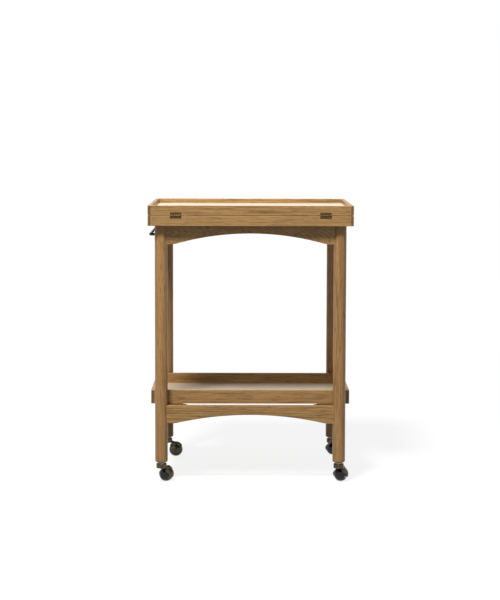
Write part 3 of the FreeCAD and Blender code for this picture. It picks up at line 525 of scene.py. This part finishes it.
def metal(
    name, clean, tarnished, patch=4.0, tarnish=0.5, smoothest=0.3, roughest=0.6, metallic=1.0, specular=0.5
):
    """Metal, paint or plastic with a patina."""
    material, wiring, shader, place = new_material(name)
    patina = wiring.group(
        group_named("patina"),
        vector=place["Object"],
        clean=opaque(clean),
        tarnished=opaque(tarnished),
        patch_size=patch * MM,
        tarnish=tarnish,
        smoothest=smoothest,
        roughest=roughest,
    )
    wiring.feed(shader.inputs["Base Color"], patina.outputs["Color"])
    wiring.feed(shader.inputs["Roughness"], patina.outputs["Roughness"])
    shader.inputs["Metallic"].default_value = metallic
    shader.inputs["Specular IOR Level"].default_value = specular
    bump(wiring, shader, patina.outputs["Height"], 0.00006)
    return material


def laminate_material(name, base):
    """Pale laminate with a soft sheen, faint clouds, rubbed patches and hair scratches."""
    material, wiring, shader, place = new_material(name)
    dust = wiring.group(group_named("dust"), vector=place["Object"], scale=9.0).outputs
    shown = wiring.mix(
        wiring.math("MULTIPLY", dust["Mask"], 0.35), opaque(base), opaque([part * 0.8 for part in base])
    )
    shown = wiring.mix(wiring.math("MULTIPLY", dust["Scratches"], 0.18), shown, opaque(colour("#A08F76")))
    wiring.feed(shader.inputs["Base Color"], shown)
    wiring.feed(
        shader.inputs["Roughness"], wiring.math("MULTIPLY_ADD", dust["Mask"], 0.18, 0.34)
    )
    shader.inputs["Specular IOR Level"].default_value = 0.4
    bump(wiring, shader, dust["Scratches"], -0.00004)
    return material


def felt_material(name, base):
    """Pressed felt: short fibres, fully rough."""
    material, wiring, shader, place = new_material(name)
    fibres = wiring.noise(place["Object"], 2600.0, 4.0, 0.7)
    shown = wiring.mix(fibres, opaque(base), opaque([part * 1.8 for part in base]))
    wiring.feed(shader.inputs["Base Color"], shown)
    shader.inputs["Roughness"].default_value = 0.95
    bump(wiring, shader, fibres, 0.0004, 0.8)
    return material


# ---------------------------------------------------------------- modelling helpers


def soften(mesh, angle=math.radians(28.0)):
    """Smooth shading, with the edges sharper than the angle kept crisp."""
    for face in mesh.faces:
        face.smooth = True
    for edge in mesh.edges:
        if len(edge.link_faces) == 2:
            edge.smooth = edge.calc_face_angle() < angle


def finished(name, mesh, material, body, slot, *nodes, weighted=True):
    """Makes the object, gives it its material and rides it on its body in place of the nodes."""
    soften(mesh)
    data = bpy.data.meshes.new(name)
    mesh.to_mesh(data)
    mesh.free()
    data.materials.append(material)
    thing = bpy.data.objects.new(name, data)
    bpy.context.scene.collection.objects.link(thing)
    if weighted:
        thing.modifiers.new("Weighted normals", "WEIGHTED_NORMAL").keep_sharp = True
    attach(thing, body)
    if nodes:
        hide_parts(*nodes)
    return thing


def dress(node, material):
    """Gives a CAD node its material and leaves its mesh alone."""
    data = frame["nodes"][node].data
    data.materials.clear()
    data.materials.append(material)


def rounded(mesh, edges, radius, segments=3):
    bmesh.ops.bevel(
        mesh,
        geom=edges,
        offset=radius,
        offset_type="OFFSET",
        affect="EDGES",
        segments=segments,
        profile=0.5,
        material=-1,
        clamp_overlap=True,
    )


def sawn_stock(low, high):
    """A block with sharp edges that fills a box."""
    mesh = bmesh.new()
    bmesh.ops.create_cube(mesh, size=1.0)
    bmesh.ops.scale(mesh, vec=high - low, verts=mesh.verts)
    bmesh.ops.translate(mesh, vec=(low + high) / 2, verts=mesh.verts)
    return mesh


def plank(low, high, radius):
    """A straight piece that fills a box, with rounded edges."""
    mesh = sawn_stock(low, high)
    rounded(mesh, mesh.edges[:], radius)
    return mesh


def arched_plank(low, high, span, rise, radius, steps):
    """A rail with a shallow arch cut from its lower edge."""
    mesh = sawn_stock(low, high)
    middle = (low.x + high.x) / 2
    for step in range(steps + 1):
        bmesh.ops.bisect_plane(
            mesh,
            geom=mesh.verts[:] + mesh.edges[:] + mesh.faces[:],
            plane_co=(middle + span * (step / steps - 0.5), 0, 0),
            plane_no=(1, 0, 0),
        )
    curve = (span**2 / 4 + rise**2) / (2 * rise)
    for vert in mesh.verts:
        across = vert.co.x - middle
        if vert.co.z < (low.z + high.z) / 2 and abs(across) < span / 2:
            vert.co.z = low.z + math.sqrt(curve**2 - across**2) - (curve - rise)
    long_edges = [
        edge
        for edge in mesh.edges
        if len(edge.link_faces) == 2 and edge.calc_face_angle() > math.radians(60)
    ]
    rounded(mesh, long_edges, radius)
    return mesh


def peg(centre, radius, depth, axis, steps, rim=0.0):
    """A disc, rod or six-sided piece along an axis, centred on a point, with rounded rims."""
    mesh = bmesh.new()
    bmesh.ops.create_cone(
        mesh,
        cap_ends=True,
        segments=steps,
        radius1=radius,
        radius2=radius,
        depth=depth,
        matrix=Matrix.Translation(centre) @ axis_turn(axis),
    )
    if rim:
        rims = [edge for edge in mesh.edges if any(len(face.verts) > 4 for face in edge.link_faces)]
        rounded(mesh, rims, rim)
    return mesh


def axis_turn(direction):
    """The rotation that takes +Z to a direction."""
    return Vector((0, 0, 1)).rotation_difference(Vector(direction)).to_matrix().to_4x4()


def arc(centre, radius, start, end, steps):
    """Profile points (radius, height) on an arc between two angles in degrees."""
    points = []
    for step in range(steps + 1):
        angle = math.radians(start + (end - start) * step / steps)
        points.append((centre[0] + radius * math.cos(angle), centre[1] + radius * math.sin(angle)))
    return points


def arc_between(start, end, radius, steps):
    """Profile points on the arc of a radius from start to end, bulging to the right of its way."""
    ax, az = start
    bx, bz = end
    half = math.hypot(bx - ax, bz - az) / 2
    rise = math.sqrt(radius**2 - half**2)
    nx, nz = (bz - az) / (2 * half), -(bx - ax) / (2 * half)
    centre = ((ax + bx) / 2 - nx * rise, (az + bz) / 2 - nz * rise)
    first = math.degrees(math.atan2(az - centre[1], ax - centre[0]))
    last = math.degrees(math.atan2(bz - centre[1], bx - centre[0]))
    return arc(centre, radius, first, last, steps)


def turned(profile, steps, place, closed=False):
    """A piece turned about +Z from a profile of (radius, height) points, then put in its place."""
    mesh = bmesh.new()
    verts = [mesh.verts.new((radius, 0, height)) for radius, height in profile]
    pairs = list(zip(verts, verts[1:]))
    if closed:
        pairs.append((verts[-1], verts[0]))
    edges = [mesh.edges.new(pair) for pair in pairs]
    bmesh.ops.spin(
        mesh,
        geom=verts + edges,
        cent=(0, 0, 0),
        axis=(0, 0, 1),
        angle=math.tau,
        steps=steps,
        use_merge=True,
    )
    bmesh.ops.remove_doubles(mesh, verts=mesh.verts, dist=1e-7)
    bmesh.ops.recalc_face_normals(mesh, faces=mesh.faces)
    bmesh.ops.transform(mesh, matrix=place, verts=mesh.verts)
    return mesh


def joined(*meshes):
    """One mesh from several; the others are freed."""
    whole = bmesh.new()
    for mesh in meshes:
        data = bpy.data.meshes.new("part")
        mesh.to_mesh(data)
        mesh.free()
        whole.from_mesh(data)
        bpy.data.meshes.remove(data)
    return whole


def slotted_head(centre, direction, radius, depth, steps, slot_turn):
    """A flat screw head with a slot across it, facing along a direction."""
    mesh = bmesh.new()
    bmesh.ops.create_cone(
        mesh, cap_ends=True, segments=steps, radius1=radius, radius2=radius, depth=depth
    )
    half = radius * 0.13
    for side in (-half, half):
        bmesh.ops.bisect_plane(
            mesh,
            geom=mesh.verts[:] + mesh.edges[:] + mesh.faces[:],
            plane_co=(side, 0, 0),
            plane_no=(1, 0, 0),
        )
    floor = [
        face
        for face in mesh.faces
        if face.normal.z > 0.9 and abs(face.calc_center_median().x) < half * 0.9
    ]
    pushed = bmesh.ops.extrude_face_region(mesh, geom=floor)
    bmesh.ops.delete(mesh, geom=floor, context="FACES")
    moved = [part for part in pushed["geom"] if isinstance(part, bmesh.types.BMVert)]
    bmesh.ops.translate(mesh, vec=(0, 0, -depth * 0.6), verts=moved)
    bmesh.ops.remove_doubles(mesh, verts=mesh.verts, dist=1e-7)
    bmesh.ops.recalc_face_normals(mesh, faces=mesh.faces)
    place = Matrix.Translation(centre) @ axis_turn(direction) @ Matrix.Rotation(slot_turn, 4, "Z")
    bmesh.ops.transform(mesh, matrix=place, verts=mesh.verts)
    return mesh


# ---------------------------------------------------------------- pieces


class TABLE_OT_legs(bpy.types.Operator):
    """Four round legs with rounded feet"""

    bl_idname = "service_table.legs"
    bl_label = "Legs"

    def execute(self, context):
        shape, finish = context.scene.table_shape, context.scene.table_finish
        piths = {
            "front_left": (3, 30, 14),
            "front_right": (0, -24, 22),
            "back_left": (7, 26, -18),
            "back_right": (2, -20, -26),
        }
        for corner in CORNERS:
            node = f"leg_{corner}"
            low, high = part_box(node)
            middle = (low + high) / 2
            mesh = peg(middle, (high.x - low.x) / 2, high.z - low.z, (0, 0, 1), shape.round_steps)
            foot = [edge for edge in mesh.edges if all(vert.co.z < low.z + 1e-5 for vert in edge.verts)]
            rounded(mesh, foot, shape.foot_rounding, 8)
            material = wood(
                f"leg wood {corner}",
                low,
                high,
                "Z",
                finish.leg_early,
                finish.leg_late,
                piths[corner],
                lean=(0, 0.6, 0.8),
                spacing=3.4,
                figure=3.0,
                rings=0.3,
            )
            finished(node + "_turned", mesh, material, "frame", "leg_wood", node)
        return {"FINISHED"}


class TABLE_OT_rails(bpy.types.Operator):
    """Eight rails: arched at the front and back, straight at the ends"""

    bl_idname = "service_table.rails"
    bl_label = "Rails"

    def execute(self, context):
        shape, finish = context.scene.table_shape, context.scene.table_finish
        looks = {
            "upper_rail_front": ((110, 64, 10), (0.0, -3.0, 9.0), 2.6, 12.0, 0.62),
            "upper_rail_back": ((-90, -58, 2), (0.0, 2.4, -7.0), 2.8, 10.0, 0.8),
            "upper_rail_left": ((10, 44, 20), (0.0, 1.0, 1.5), 3.4, 4.0, 0.6),
            "upper_rail_right": ((-20, 40, -16), (0.0, -1.0, 2.0), 3.4, 4.0, 0.6),
            "lower_rail_front": ((60, 70, 30), (0.0, 0.8, 1.2), 3.6, 4.0, 0.55),
            "lower_rail_back": ((-40, -66, 24), (0.0, -0.9, 1.0), 3.6, 4.0, 0.55),
            "lower_rail_left": ((0, 52, 14), (0.0, 0.7, 1.6), 3.4, 4.0, 0.5),
            "lower_rail_right": ((14, -50, 18), (0.0, -0.8, 1.2), 3.4, 4.0, 0.5),
        }
        for node, (pith, lean, spacing, figure, rings) in looks.items():
            low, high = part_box(node)
            wide = node.endswith(("front", "back"))
            if wide:
                rise = shape.upper_rise if node.startswith("upper") else shape.lower_rise
                mesh = arched_plank(low, high, shape.arch_span, rise, shape.arris, shape.arch_steps)
            else:
                mesh = plank(low, high, shape.arris)
            material = wood(
                f"rail wood {node}",
                low,
                high,
                "X" if wide else "Y",
                finish.rail_early,
                finish.rail_late,
                pith,
                lean,
                spacing,
                figure,
                rings,
                wear=1.3,
            )
            finished(node + "_sawn", mesh, material, "frame", "rail_wood", node)
        return {"FINISHED"}


class TABLE_OT_rims(bpy.types.Operator):
    """Twelve rims of the two leaves and the lower tray"""

    bl_idname = "service_table.rims"
    bl_label = "Rims"

    def execute(self, context):
        shape, finish = context.scene.table_shape, context.scene.table_finish
        sides = {
            "front": ("X", (60, 48, 20), (0.0, 0.6, 1.0)),
            "back": ("X", (-80, -44, 16), (0.0, -0.5, 0.8)),
            "left": ("Y", (20, 40, 12), (0.0, 0.8, 0.7)),
            "right": ("Y", (-30, -46, 18), (0.0, -0.7, 0.9)),
        }
        tiers = {
            "top_leaf_rim": ("top_leaf", 7, 0.42),
            "fixed_leaf_rim": ("frame", -11, 0.36),
            "tray_rim": ("frame", 19, 0.4),
        }
        for tier, (body, drift, rings) in tiers.items():
            for side, (axis, pith, lean) in sides.items():
                node = f"{tier}_{side}"
                low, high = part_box(node)
                material = wood(
                    f"rim wood {node}",
                    low,
                    high,
                    axis,
                    finish.rim_early,
                    finish.rim_late,
                    (pith[0] + 9 * drift, pith[1] + drift, pith[2] - drift),
                    lean,
                    spacing=3.3,
                    figure=3.5,
                    rings=rings,
                    wear=2.0,
                )
                mesh = plank(low, high, shape.arris)
                finished(node + "_planed", mesh, material, body, "rim_wood", node)
        return {"FINISHED"}


class TABLE_OT_boards(bpy.types.Operator):
    """Boards and laminate of the leaves and the tray, corner blocks, dowels, buffers and hidden screws"""

    bl_idname = "service_table.boards"
    bl_label = "Boards and hidden parts"

    def execute(self, context):
        finish = context.scene.table_finish
        plain = (finish.plain_early, finish.plain_late)
        # Darker colours for the lower corner blocks: painted shade for the shadow under the tray.
        painted_shade_wood = (finish.painted_shade_block_early, finish.painted_shade_block_late)
        for node, pith in (
            ("tray_board", (30, 20, 90)),
            ("fixed_leaf_board", (-50, -30, 110)),
            ("top_leaf_board", (10, 40, -100)),
            ("corner_blocks_upper", (0, 30, 60)),
            ("corner_blocks_lower", (20, -30, 70)),
            ("rail_dowels", (0, 10, 12)),
        ):
            low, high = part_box(node)
            material = wood(
                f"plain wood {node}",
                low,
                high,
                "X",
                # The lower corner blocks take the darker colours: painted shade, not a stain.
                *(painted_shade_wood if node == "corner_blocks_lower" else plain),
                pith,
                (0.0, 0.6, 1.4),
                spacing=5.0,
                figure=5.0,
                rings=0.35,
            )
            dress(node, material)
        dress("top_leaf_laminate", laminate_material("leaf laminate", finish.laminate))
        # The tray's laminate takes the darker colour: painted shade under the top leaf.
        dress("tray_laminate", laminate_material("tray laminate", finish.laminate_tray_painted_shade))
        dress("leaf_buffers", felt_material("dark felt", finish.felt))
        zinc = metal("bright zinc", finish.steel, finish.steel_dark, 3.0, 0.4, 0.25, 0.45)
        for node in ("leaf_fixing_screws", "tray_fixing_screws", "stem_sockets"):
            dress(node, zinc)
        return {"FINISHED"}


class TABLE_OT_hinges(bpy.types.Operator):
    """Two small hinges on the front edge: plates, knuckles, pins and slotted screws"""

    bl_idname = "service_table.hinges"
    bl_label = "Hinges"

    def execute(self, context):
        shape, finish = context.scene.table_shape, context.scene.table_finish
        brass = metal("darkened brass", finish.brass, finish.brass_dark, 2.2, 0.5, 0.32, 0.6)
        bright = metal("rubbed brass", finish.brass, finish.brass_dark, 1.4, 0.3, 0.28, 0.5)
        axis = Vector(JOINTS["leaf_hinge"]["pos_m"])
        for kind, body, sign in (("fixed", "frame", -1), ("moving", "top_leaf", 1)):
            low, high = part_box(f"hinge_plates_{kind}")
            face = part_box(f"hinge_screws_{kind}")[0].y - shape.plate_proud
            plates, heads = [], []
            for side in (-1, 1):
                inner, outer = sorted((side * high.x, side * (high.x - shape.hinge_width)))
                ends = sorted((low.z if sign < 0 else high.z, axis.z + sign * shape.plate_past))
                plates.append(
                    plank(Vector((inner, face, ends[0])), Vector((outer, high.y, ends[1])), shape.plate_edge)
                )
                third = (outer - inner) / 3
                spans = [(inner, inner + third), (outer - third, outer)]
                if sign > 0:
                    spans = [(inner + third, outer - third)]
                for start, end in spans:
                    start, end = start + shape.knuckle_gap, end - shape.knuckle_gap
                    middle = Vector(((start + end) / 2, axis.y, axis.z))
                    plates.append(peg(middle, shape.knuckle, end - start, (1, 0, 0), 32, shape.plate_edge))
                for place in (-1, 1):
                    centre = Vector(
                        (
                            (inner + outer) / 2 + place * shape.screw_pitch / 2,
                            face - 0.05 * MM,
                            axis.z + sign * shape.screw_drop,
                        )
                    )
                    heads.append(
                        slotted_head(
                            centre,
                            (0, -1, 0),
                            shape.screw_head,
                            shape.screw_depth,
                            32,
                            0.5 + place * 0.9 + side,
                        )
                    )
            finished(
                f"hinge_plates_{kind}_pressed",
                joined(*plates),
                brass,
                body,
                "hinge_brass",
                f"hinge_plates_{kind}",
            )
            finished(
                f"hinge_screws_{kind}_slotted",
                joined(*heads),
                bright,
                body,
                "hinge_brass",
                f"hinge_screws_{kind}",
            )
        dress("hinge_pins", bright)
        return {"FINISHED"}


class TABLE_OT_handle(bpy.types.Operator):
    """Bent iron push handle with its rosettes and nuts"""

    bl_idname = "service_table.handle"
    bl_label = "Push handle"

    def execute(self, context):
        shape, finish = context.scene.table_shape, context.scene.table_finish
        iron = metal("black iron", finish.iron, finish.iron_worn, 9.0, 0.3, 0.3, 0.5, 0.0, 0.25)
        low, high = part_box("handle_rod")
        radius = (high.z - low.z) / 2
        bend = shape.handle_bend
        mesh = bmesh.new()
        bmesh.ops.create_circle(
            mesh,
            cap_ends=True,
            segments=32,
            radius=radius,
            matrix=Matrix.Translation((high.x, low.y + radius, (low.z + high.z) / 2))
            @ Matrix.Rotation(math.radians(90), 4, "Y"),
        )
        end = mesh.faces[:]
        post = high.x - (low.x + radius) - bend
        run = (high.y - low.y) - 2 * radius - 2 * bend
        z = (low.z + high.z) / 2
        outer = low.x + radius + bend
        end = pushed_on(mesh, end, (-post, 0, 0))
        end = bent_on(mesh, end, (outer, low.y + radius + bend, z), -90)
        end = pushed_on(mesh, end, (0, run, 0))
        end = bent_on(mesh, end, (outer, high.y - radius - bend, z), -90)
        pushed_on(mesh, end, (post, 0, 0))
        bmesh.ops.remove_doubles(mesh, verts=mesh.verts, dist=1e-7)
        bmesh.ops.recalc_face_normals(mesh, faces=mesh.faces)
        finished("handle_rod_bent", mesh, iron, "frame", "handle_iron", "handle_rod")
        for name, sides, rim in (("handle_rosettes", 48, 0.6 * MM), ("handle_nuts", 6, 0.4 * MM)):
            low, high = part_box(name)
            radius = (high.z - low.z) / 2
            pair = []
            for y in (low.y + half_depth(name), high.y - half_depth(name)):
                centre = Vector(((low.x + high.x) / 2, y, (low.z + high.z) / 2))
                pair.append(peg(centre, radius, high.x - low.x, (1, 0, 0), sides, rim))
            finished(name + "_turned", joined(*pair), iron, "frame", "handle_iron", name)
        return {"FINISHED"}


def half_depth(name):
    """Half of one rosette's or nut's size front to back: the pair lies at the two posts of the rod."""
    rod_low, rod_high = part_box("handle_rod")
    return rod_low.y + (rod_high.z - rod_low.z) / 2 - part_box(name)[0].y


def pushed_on(mesh, end, way):
    """Extrudes the rod's open end straight on and returns its new end."""
    made = bmesh.ops.extrude_face_region(mesh, geom=end)
    bmesh.ops.delete(mesh, geom=end, context="FACES_ONLY")
    verts = [part for part in made["geom"] if isinstance(part, bmesh.types.BMVert)]
    bmesh.ops.translate(mesh, vec=way, verts=verts)
    return [part for part in made["geom"] if isinstance(part, bmesh.types.BMFace)]


def bent_on(mesh, end, centre, angle):
    """Spins the rod's open end through a bend about an upright axis and returns its new end."""
    made = bmesh.ops.spin(
        mesh,
        geom=end,
        cent=centre,
        axis=(0, 0, 1),
        angle=math.radians(angle),
        steps=12,
        use_duplicate=False,
    )
    return [part for part in made["geom_last"] if isinstance(part, bmesh.types.BMFace)]


class TABLE_OT_casters(bpy.types.Operator):
    """Four ball casters: hood, wheel, axle and stem"""

    bl_idname = "service_table.casters"
    bl_label = "Ball casters"

    def execute(self, context):
        shape, finish = context.scene.caster_shape, context.scene.table_finish
        steps = context.scene.table_shape.round_steps
        bronze = metal("aged bronze", finish.bronze, finish.bronze_dark, 6.0, 0.42, 0.3, 0.55)
        dark = metal("dark axle", finish.wheel, finish.wheel_worn, 2.0, 0.4, 0.3, 0.5, 0.0, 0.3)
        black = metal("wheel plastic", finish.wheel, finish.wheel_worn, 9.0, 0.25, 0.16, 0.4, 0.0, 0.35)
        zinc = metal("stem zinc", finish.steel, finish.steel_dark, 3.0, 0.4, 0.25, 0.45)
        for corner in CORNERS:
            spin = JOINTS[f"wheel_spin_{corner}"]
            place = Matrix.Translation(spin["pos_m"]) @ axis_turn(spin["axis"])
            radius = Vector(spin["pos_m"]).z
            back = math.sqrt(radius**2 - shape.wheel_back**2)
            edge = math.sqrt(radius**2 - shape.tread_edge**2)
            profile = [(shape.bore_radius, -shape.wheel_back)]
            profile += arc_between((back, -shape.wheel_back), (edge, shape.tread_edge), radius, 26)
            profile += arc_between(
                (edge, shape.tread_edge), (shape.cone_radius, shape.cone_edge), shape.dome_radius, 8
            )[1:]
            profile += arc_between(
                (shape.cone_radius, shape.cone_edge),
                (shape.face_radius + shape.cone_shoulder, shape.face),
                shape.cone_curve,
                5,
            )[1:]
            profile += [(shape.face_radius, shape.face), (shape.bore_radius, shape.face)]
            wheel = turned(profile, steps, place, closed=True)
            finished(
                f"caster_wheel_{corner}_moulded",
                wheel,
                black,
                f"caster_wheel_{corner}",
                "wheel_black",
                f"caster_wheel_{corner}",
                weighted=False,
            )
            base = shape.face + shape.head_gap
            axle = turned(
                [(0, -shape.axle_inner), (shape.axle_radius, -shape.axle_inner)]
                + [(shape.axle_radius, base), (shape.head_radius, base)]
                + arc_between(
                    (shape.head_radius, base + shape.head_height * 0.25),
                    (0, base + shape.head_height),
                    shape.head_radius * 1.6,
                    8,
                ),
                48,
                place,
            )
            finished(
                f"caster_axle_{corner}_headed",
                axle,
                dark,
                f"caster_swivel_{corner}",
                "caster_steel",
                f"caster_axle_{corner}",
                weighted=False,
            )
            hood = bmesh.new()
            hood.from_mesh(frame["nodes"][f"caster_hood_{corner}"].data)
            bmesh.ops.remove_doubles(hood, verts=hood.verts, dist=1e-6)
            thing = finished(
                f"caster_hood_{corner}_pressed",
                hood,
                bronze,
                f"caster_swivel_{corner}",
                "caster_bronze",
                f"caster_hood_{corner}",
                weighted=False,
            )
            melt = thing.modifiers.new("Joins", "REMESH")
            melt.mode = "VOXEL"
            melt.voxel_size = shape.hood_step
            melt.use_smooth_shade = True
            even = thing.modifiers.new("Soft joins", "SMOOTH")
            even.factor = 0.5
            even.iterations = 4
            dress(f"caster_stem_{corner}", zinc)
        return {"FINISHED"}


# ---------------------------------------------------------------- studio


def looking(place, down, turn, roll):
    """The camera's matrix from its place and its angles."""
    forward = Vector(
        (math.sin(turn) * math.cos(down), math.cos(turn) * math.cos(down), -math.sin(down))
    )
    right = Vector((math.cos(turn), -math.sin(turn), 0))
    up = right.cross(forward)
    rolled_right = right * math.cos(roll) + up * math.sin(roll)
    rolled_up = up * math.cos(roll) - right * math.sin(roll)
    matrix = Matrix((rolled_right, rolled_up, -forward)).transposed().to_4x4()
    matrix.translation = place
    return matrix


def seen_white(wiring):
    """1 for the camera's, mirrored and refracted rays, and 0 for the light that falls on the table."""
    path = wiring.node("ShaderNodeLightPath", {}).outputs
    straight = wiring.math("ADD", path["Is Camera Ray"], path["Is Glossy Ray"])
    return wiring.math("ADD", straight, path["Is Transmission Ray"], clamp=True)


def lamp(name, place, size, power):
    """A square soft lamp that shines on the middle of the table."""
    data = bpy.data.lights.new(name, "AREA")
    data.shape = "RECTANGLE"
    data.size = data.size_y = size
    data.energy = power
    thing = bpy.data.objects.new(name, data)
    thing.location = place
    thing.rotation_euler = (LAMP_AIM - Vector(place)).to_track_quat("-Z", "Y").to_euler()
    bpy.context.scene.collection.objects.link(thing)


class TABLE_OT_studio(bpy.types.Operator):
    """Pale floor, soft lamps, world and camera"""

    bl_idname = "service_table.studio"
    bl_label = "Studio"

    def execute(self, context):
        studio = context.scene.table_studio
        mesh = bmesh.new()
        bmesh.ops.create_grid(mesh, x_segments=1, y_segments=1, size=60.0)
        data = bpy.data.meshes.new("floor")
        mesh.to_mesh(data)
        mesh.free()
        floor = bpy.data.objects.new("floor", data)
        context.scene.collection.objects.link(floor)
        data.materials.append(self.floor_material(studio))

        world = bpy.data.worlds.new("studio")
        world.use_nodes = True
        wiring = Wiring(world.node_tree)
        background = world.node_tree.nodes["Background"]
        white = seen_white(wiring)
        grey = wiring.node("ShaderNodeBackground", {"Color": (1, 1, 1, 1), "Strength": studio.ambient})
        background.inputs["Color"].default_value = (1, 1, 1, 1)
        background.inputs["Strength"].default_value = 1.0
        both = wiring.node("ShaderNodeMixShader", {0: white, 1: grey.outputs[0], 2: background.outputs[0]})
        wiring.feed(world.node_tree.nodes["World Output"].inputs["Surface"], both.outputs[0])
        context.scene.world = world

        lamp("key", (-0.82, -2.03, 3.7), 0.8, studio.key_power)
        lamp("overhead", (0.2, 0.1, 3.1), 1.8, studio.top_power)
        lamp("fill", (2.4, -2.4, 1.6), 1.6, studio.fill_power)

        data = bpy.data.cameras.new("photo camera")
        data.sensor_fit = "VERTICAL"
        data.sensor_height = 36.0
        data.sensor_width = 30.0
        data.lens = studio.focal
        data.shift_y = studio.shift
        data.clip_end = 100.0
        camera = bpy.data.objects.new("photo camera", data)
        camera.matrix_world = looking(
            studio.camera_place, studio.camera_down, studio.camera_turn, studio.camera_roll
        )
        context.scene.collection.objects.link(camera)
        context.scene.camera = camera
        context.scene.view_settings.view_transform = "Standard"
        return {"FINISHED"}

    def floor_material(self, studio):
        """Diffuse floor that keeps the shadows and glows white for the camera."""
        material, wiring, shader, place = new_material("pale floor")
        material.node_tree.nodes.remove(shader)
        mottled = wiring.mix(
            wiring.noise(place["Object"], 3.0),
            opaque(studio.floor_shade),
            opaque([part * 0.97 for part in studio.floor_shade]),
        )
        plain = wiring.node("ShaderNodeBsdfDiffuse", {"Color": mottled})
        away = wiring.vector("LENGTH", place["Object"])
        level = wiring.smooth_range(away, 0.6, 4.0, studio.floor_glow, 0.985)
        strength = wiring.math("MULTIPLY", seen_white(wiring), level)
        glow = wiring.node("ShaderNodeEmission", {"Color": (1, 1, 1, 1), "Strength": strength})
        both = wiring.node("ShaderNodeAddShader", {0: plain.outputs[0], 1: glow.outputs[0]})
        output = material.node_tree.nodes["Material Output"]
        wiring.feed(output.inputs["Surface"], both.outputs[0])
        return material


# ---------------------------------------------------------------- add-on


OPERATORS = (
    TABLE_OT_legs,
    TABLE_OT_rails,
    TABLE_OT_rims,
    TABLE_OT_boards,
    TABLE_OT_hinges,
    TABLE_OT_handle,
    TABLE_OT_casters,
    TABLE_OT_studio,
)


class TABLE_PT_service_table(bpy.types.Panel):
    """Lists the table's pieces and settings"""

    bl_label = "Service table"
    bl_space_type = "VIEW_3D"
    bl_region_type = "UI"
    bl_category = "Service table"

    def draw(self, context):
        for operator in OPERATORS:
            self.layout.operator(operator.bl_idname)
        for settings in ("table_shape", "caster_shape", "table_finish", "table_studio"):
            group = getattr(context.scene, settings)
            box = self.layout.box()
            for name in group.bl_rna.properties.keys():
                if name not in ("rna_type", "name"):
                    box.prop(group, name)


SETTINGS = {
    "table_shape": TableShape,
    "caster_shape": CasterShape,
    "table_finish": TableFinish,
    "table_studio": StudioSetup,
}


def register():
    for name, kind in SETTINGS.items():
        bpy.utils.register_class(kind)
        setattr(bpy.types.Scene, name, PointerProperty(type=kind))
    for kind in (*OPERATORS, TABLE_PT_service_table):
        bpy.utils.register_class(kind)


def unregister():
    for kind in (TABLE_PT_service_table, *reversed(OPERATORS)):
        bpy.utils.unregister_class(kind)
    for name, kind in reversed(SETTINGS.items()):
        delattr(bpy.types.Scene, name)
        bpy.utils.unregister_class(kind)


def main():
    register()
    for operator in OPERATORS:
        family, name = operator.bl_idname.split(".")
        getattr(getattr(bpy.ops, family), name)()


if __name__ == "__main__":
    main()
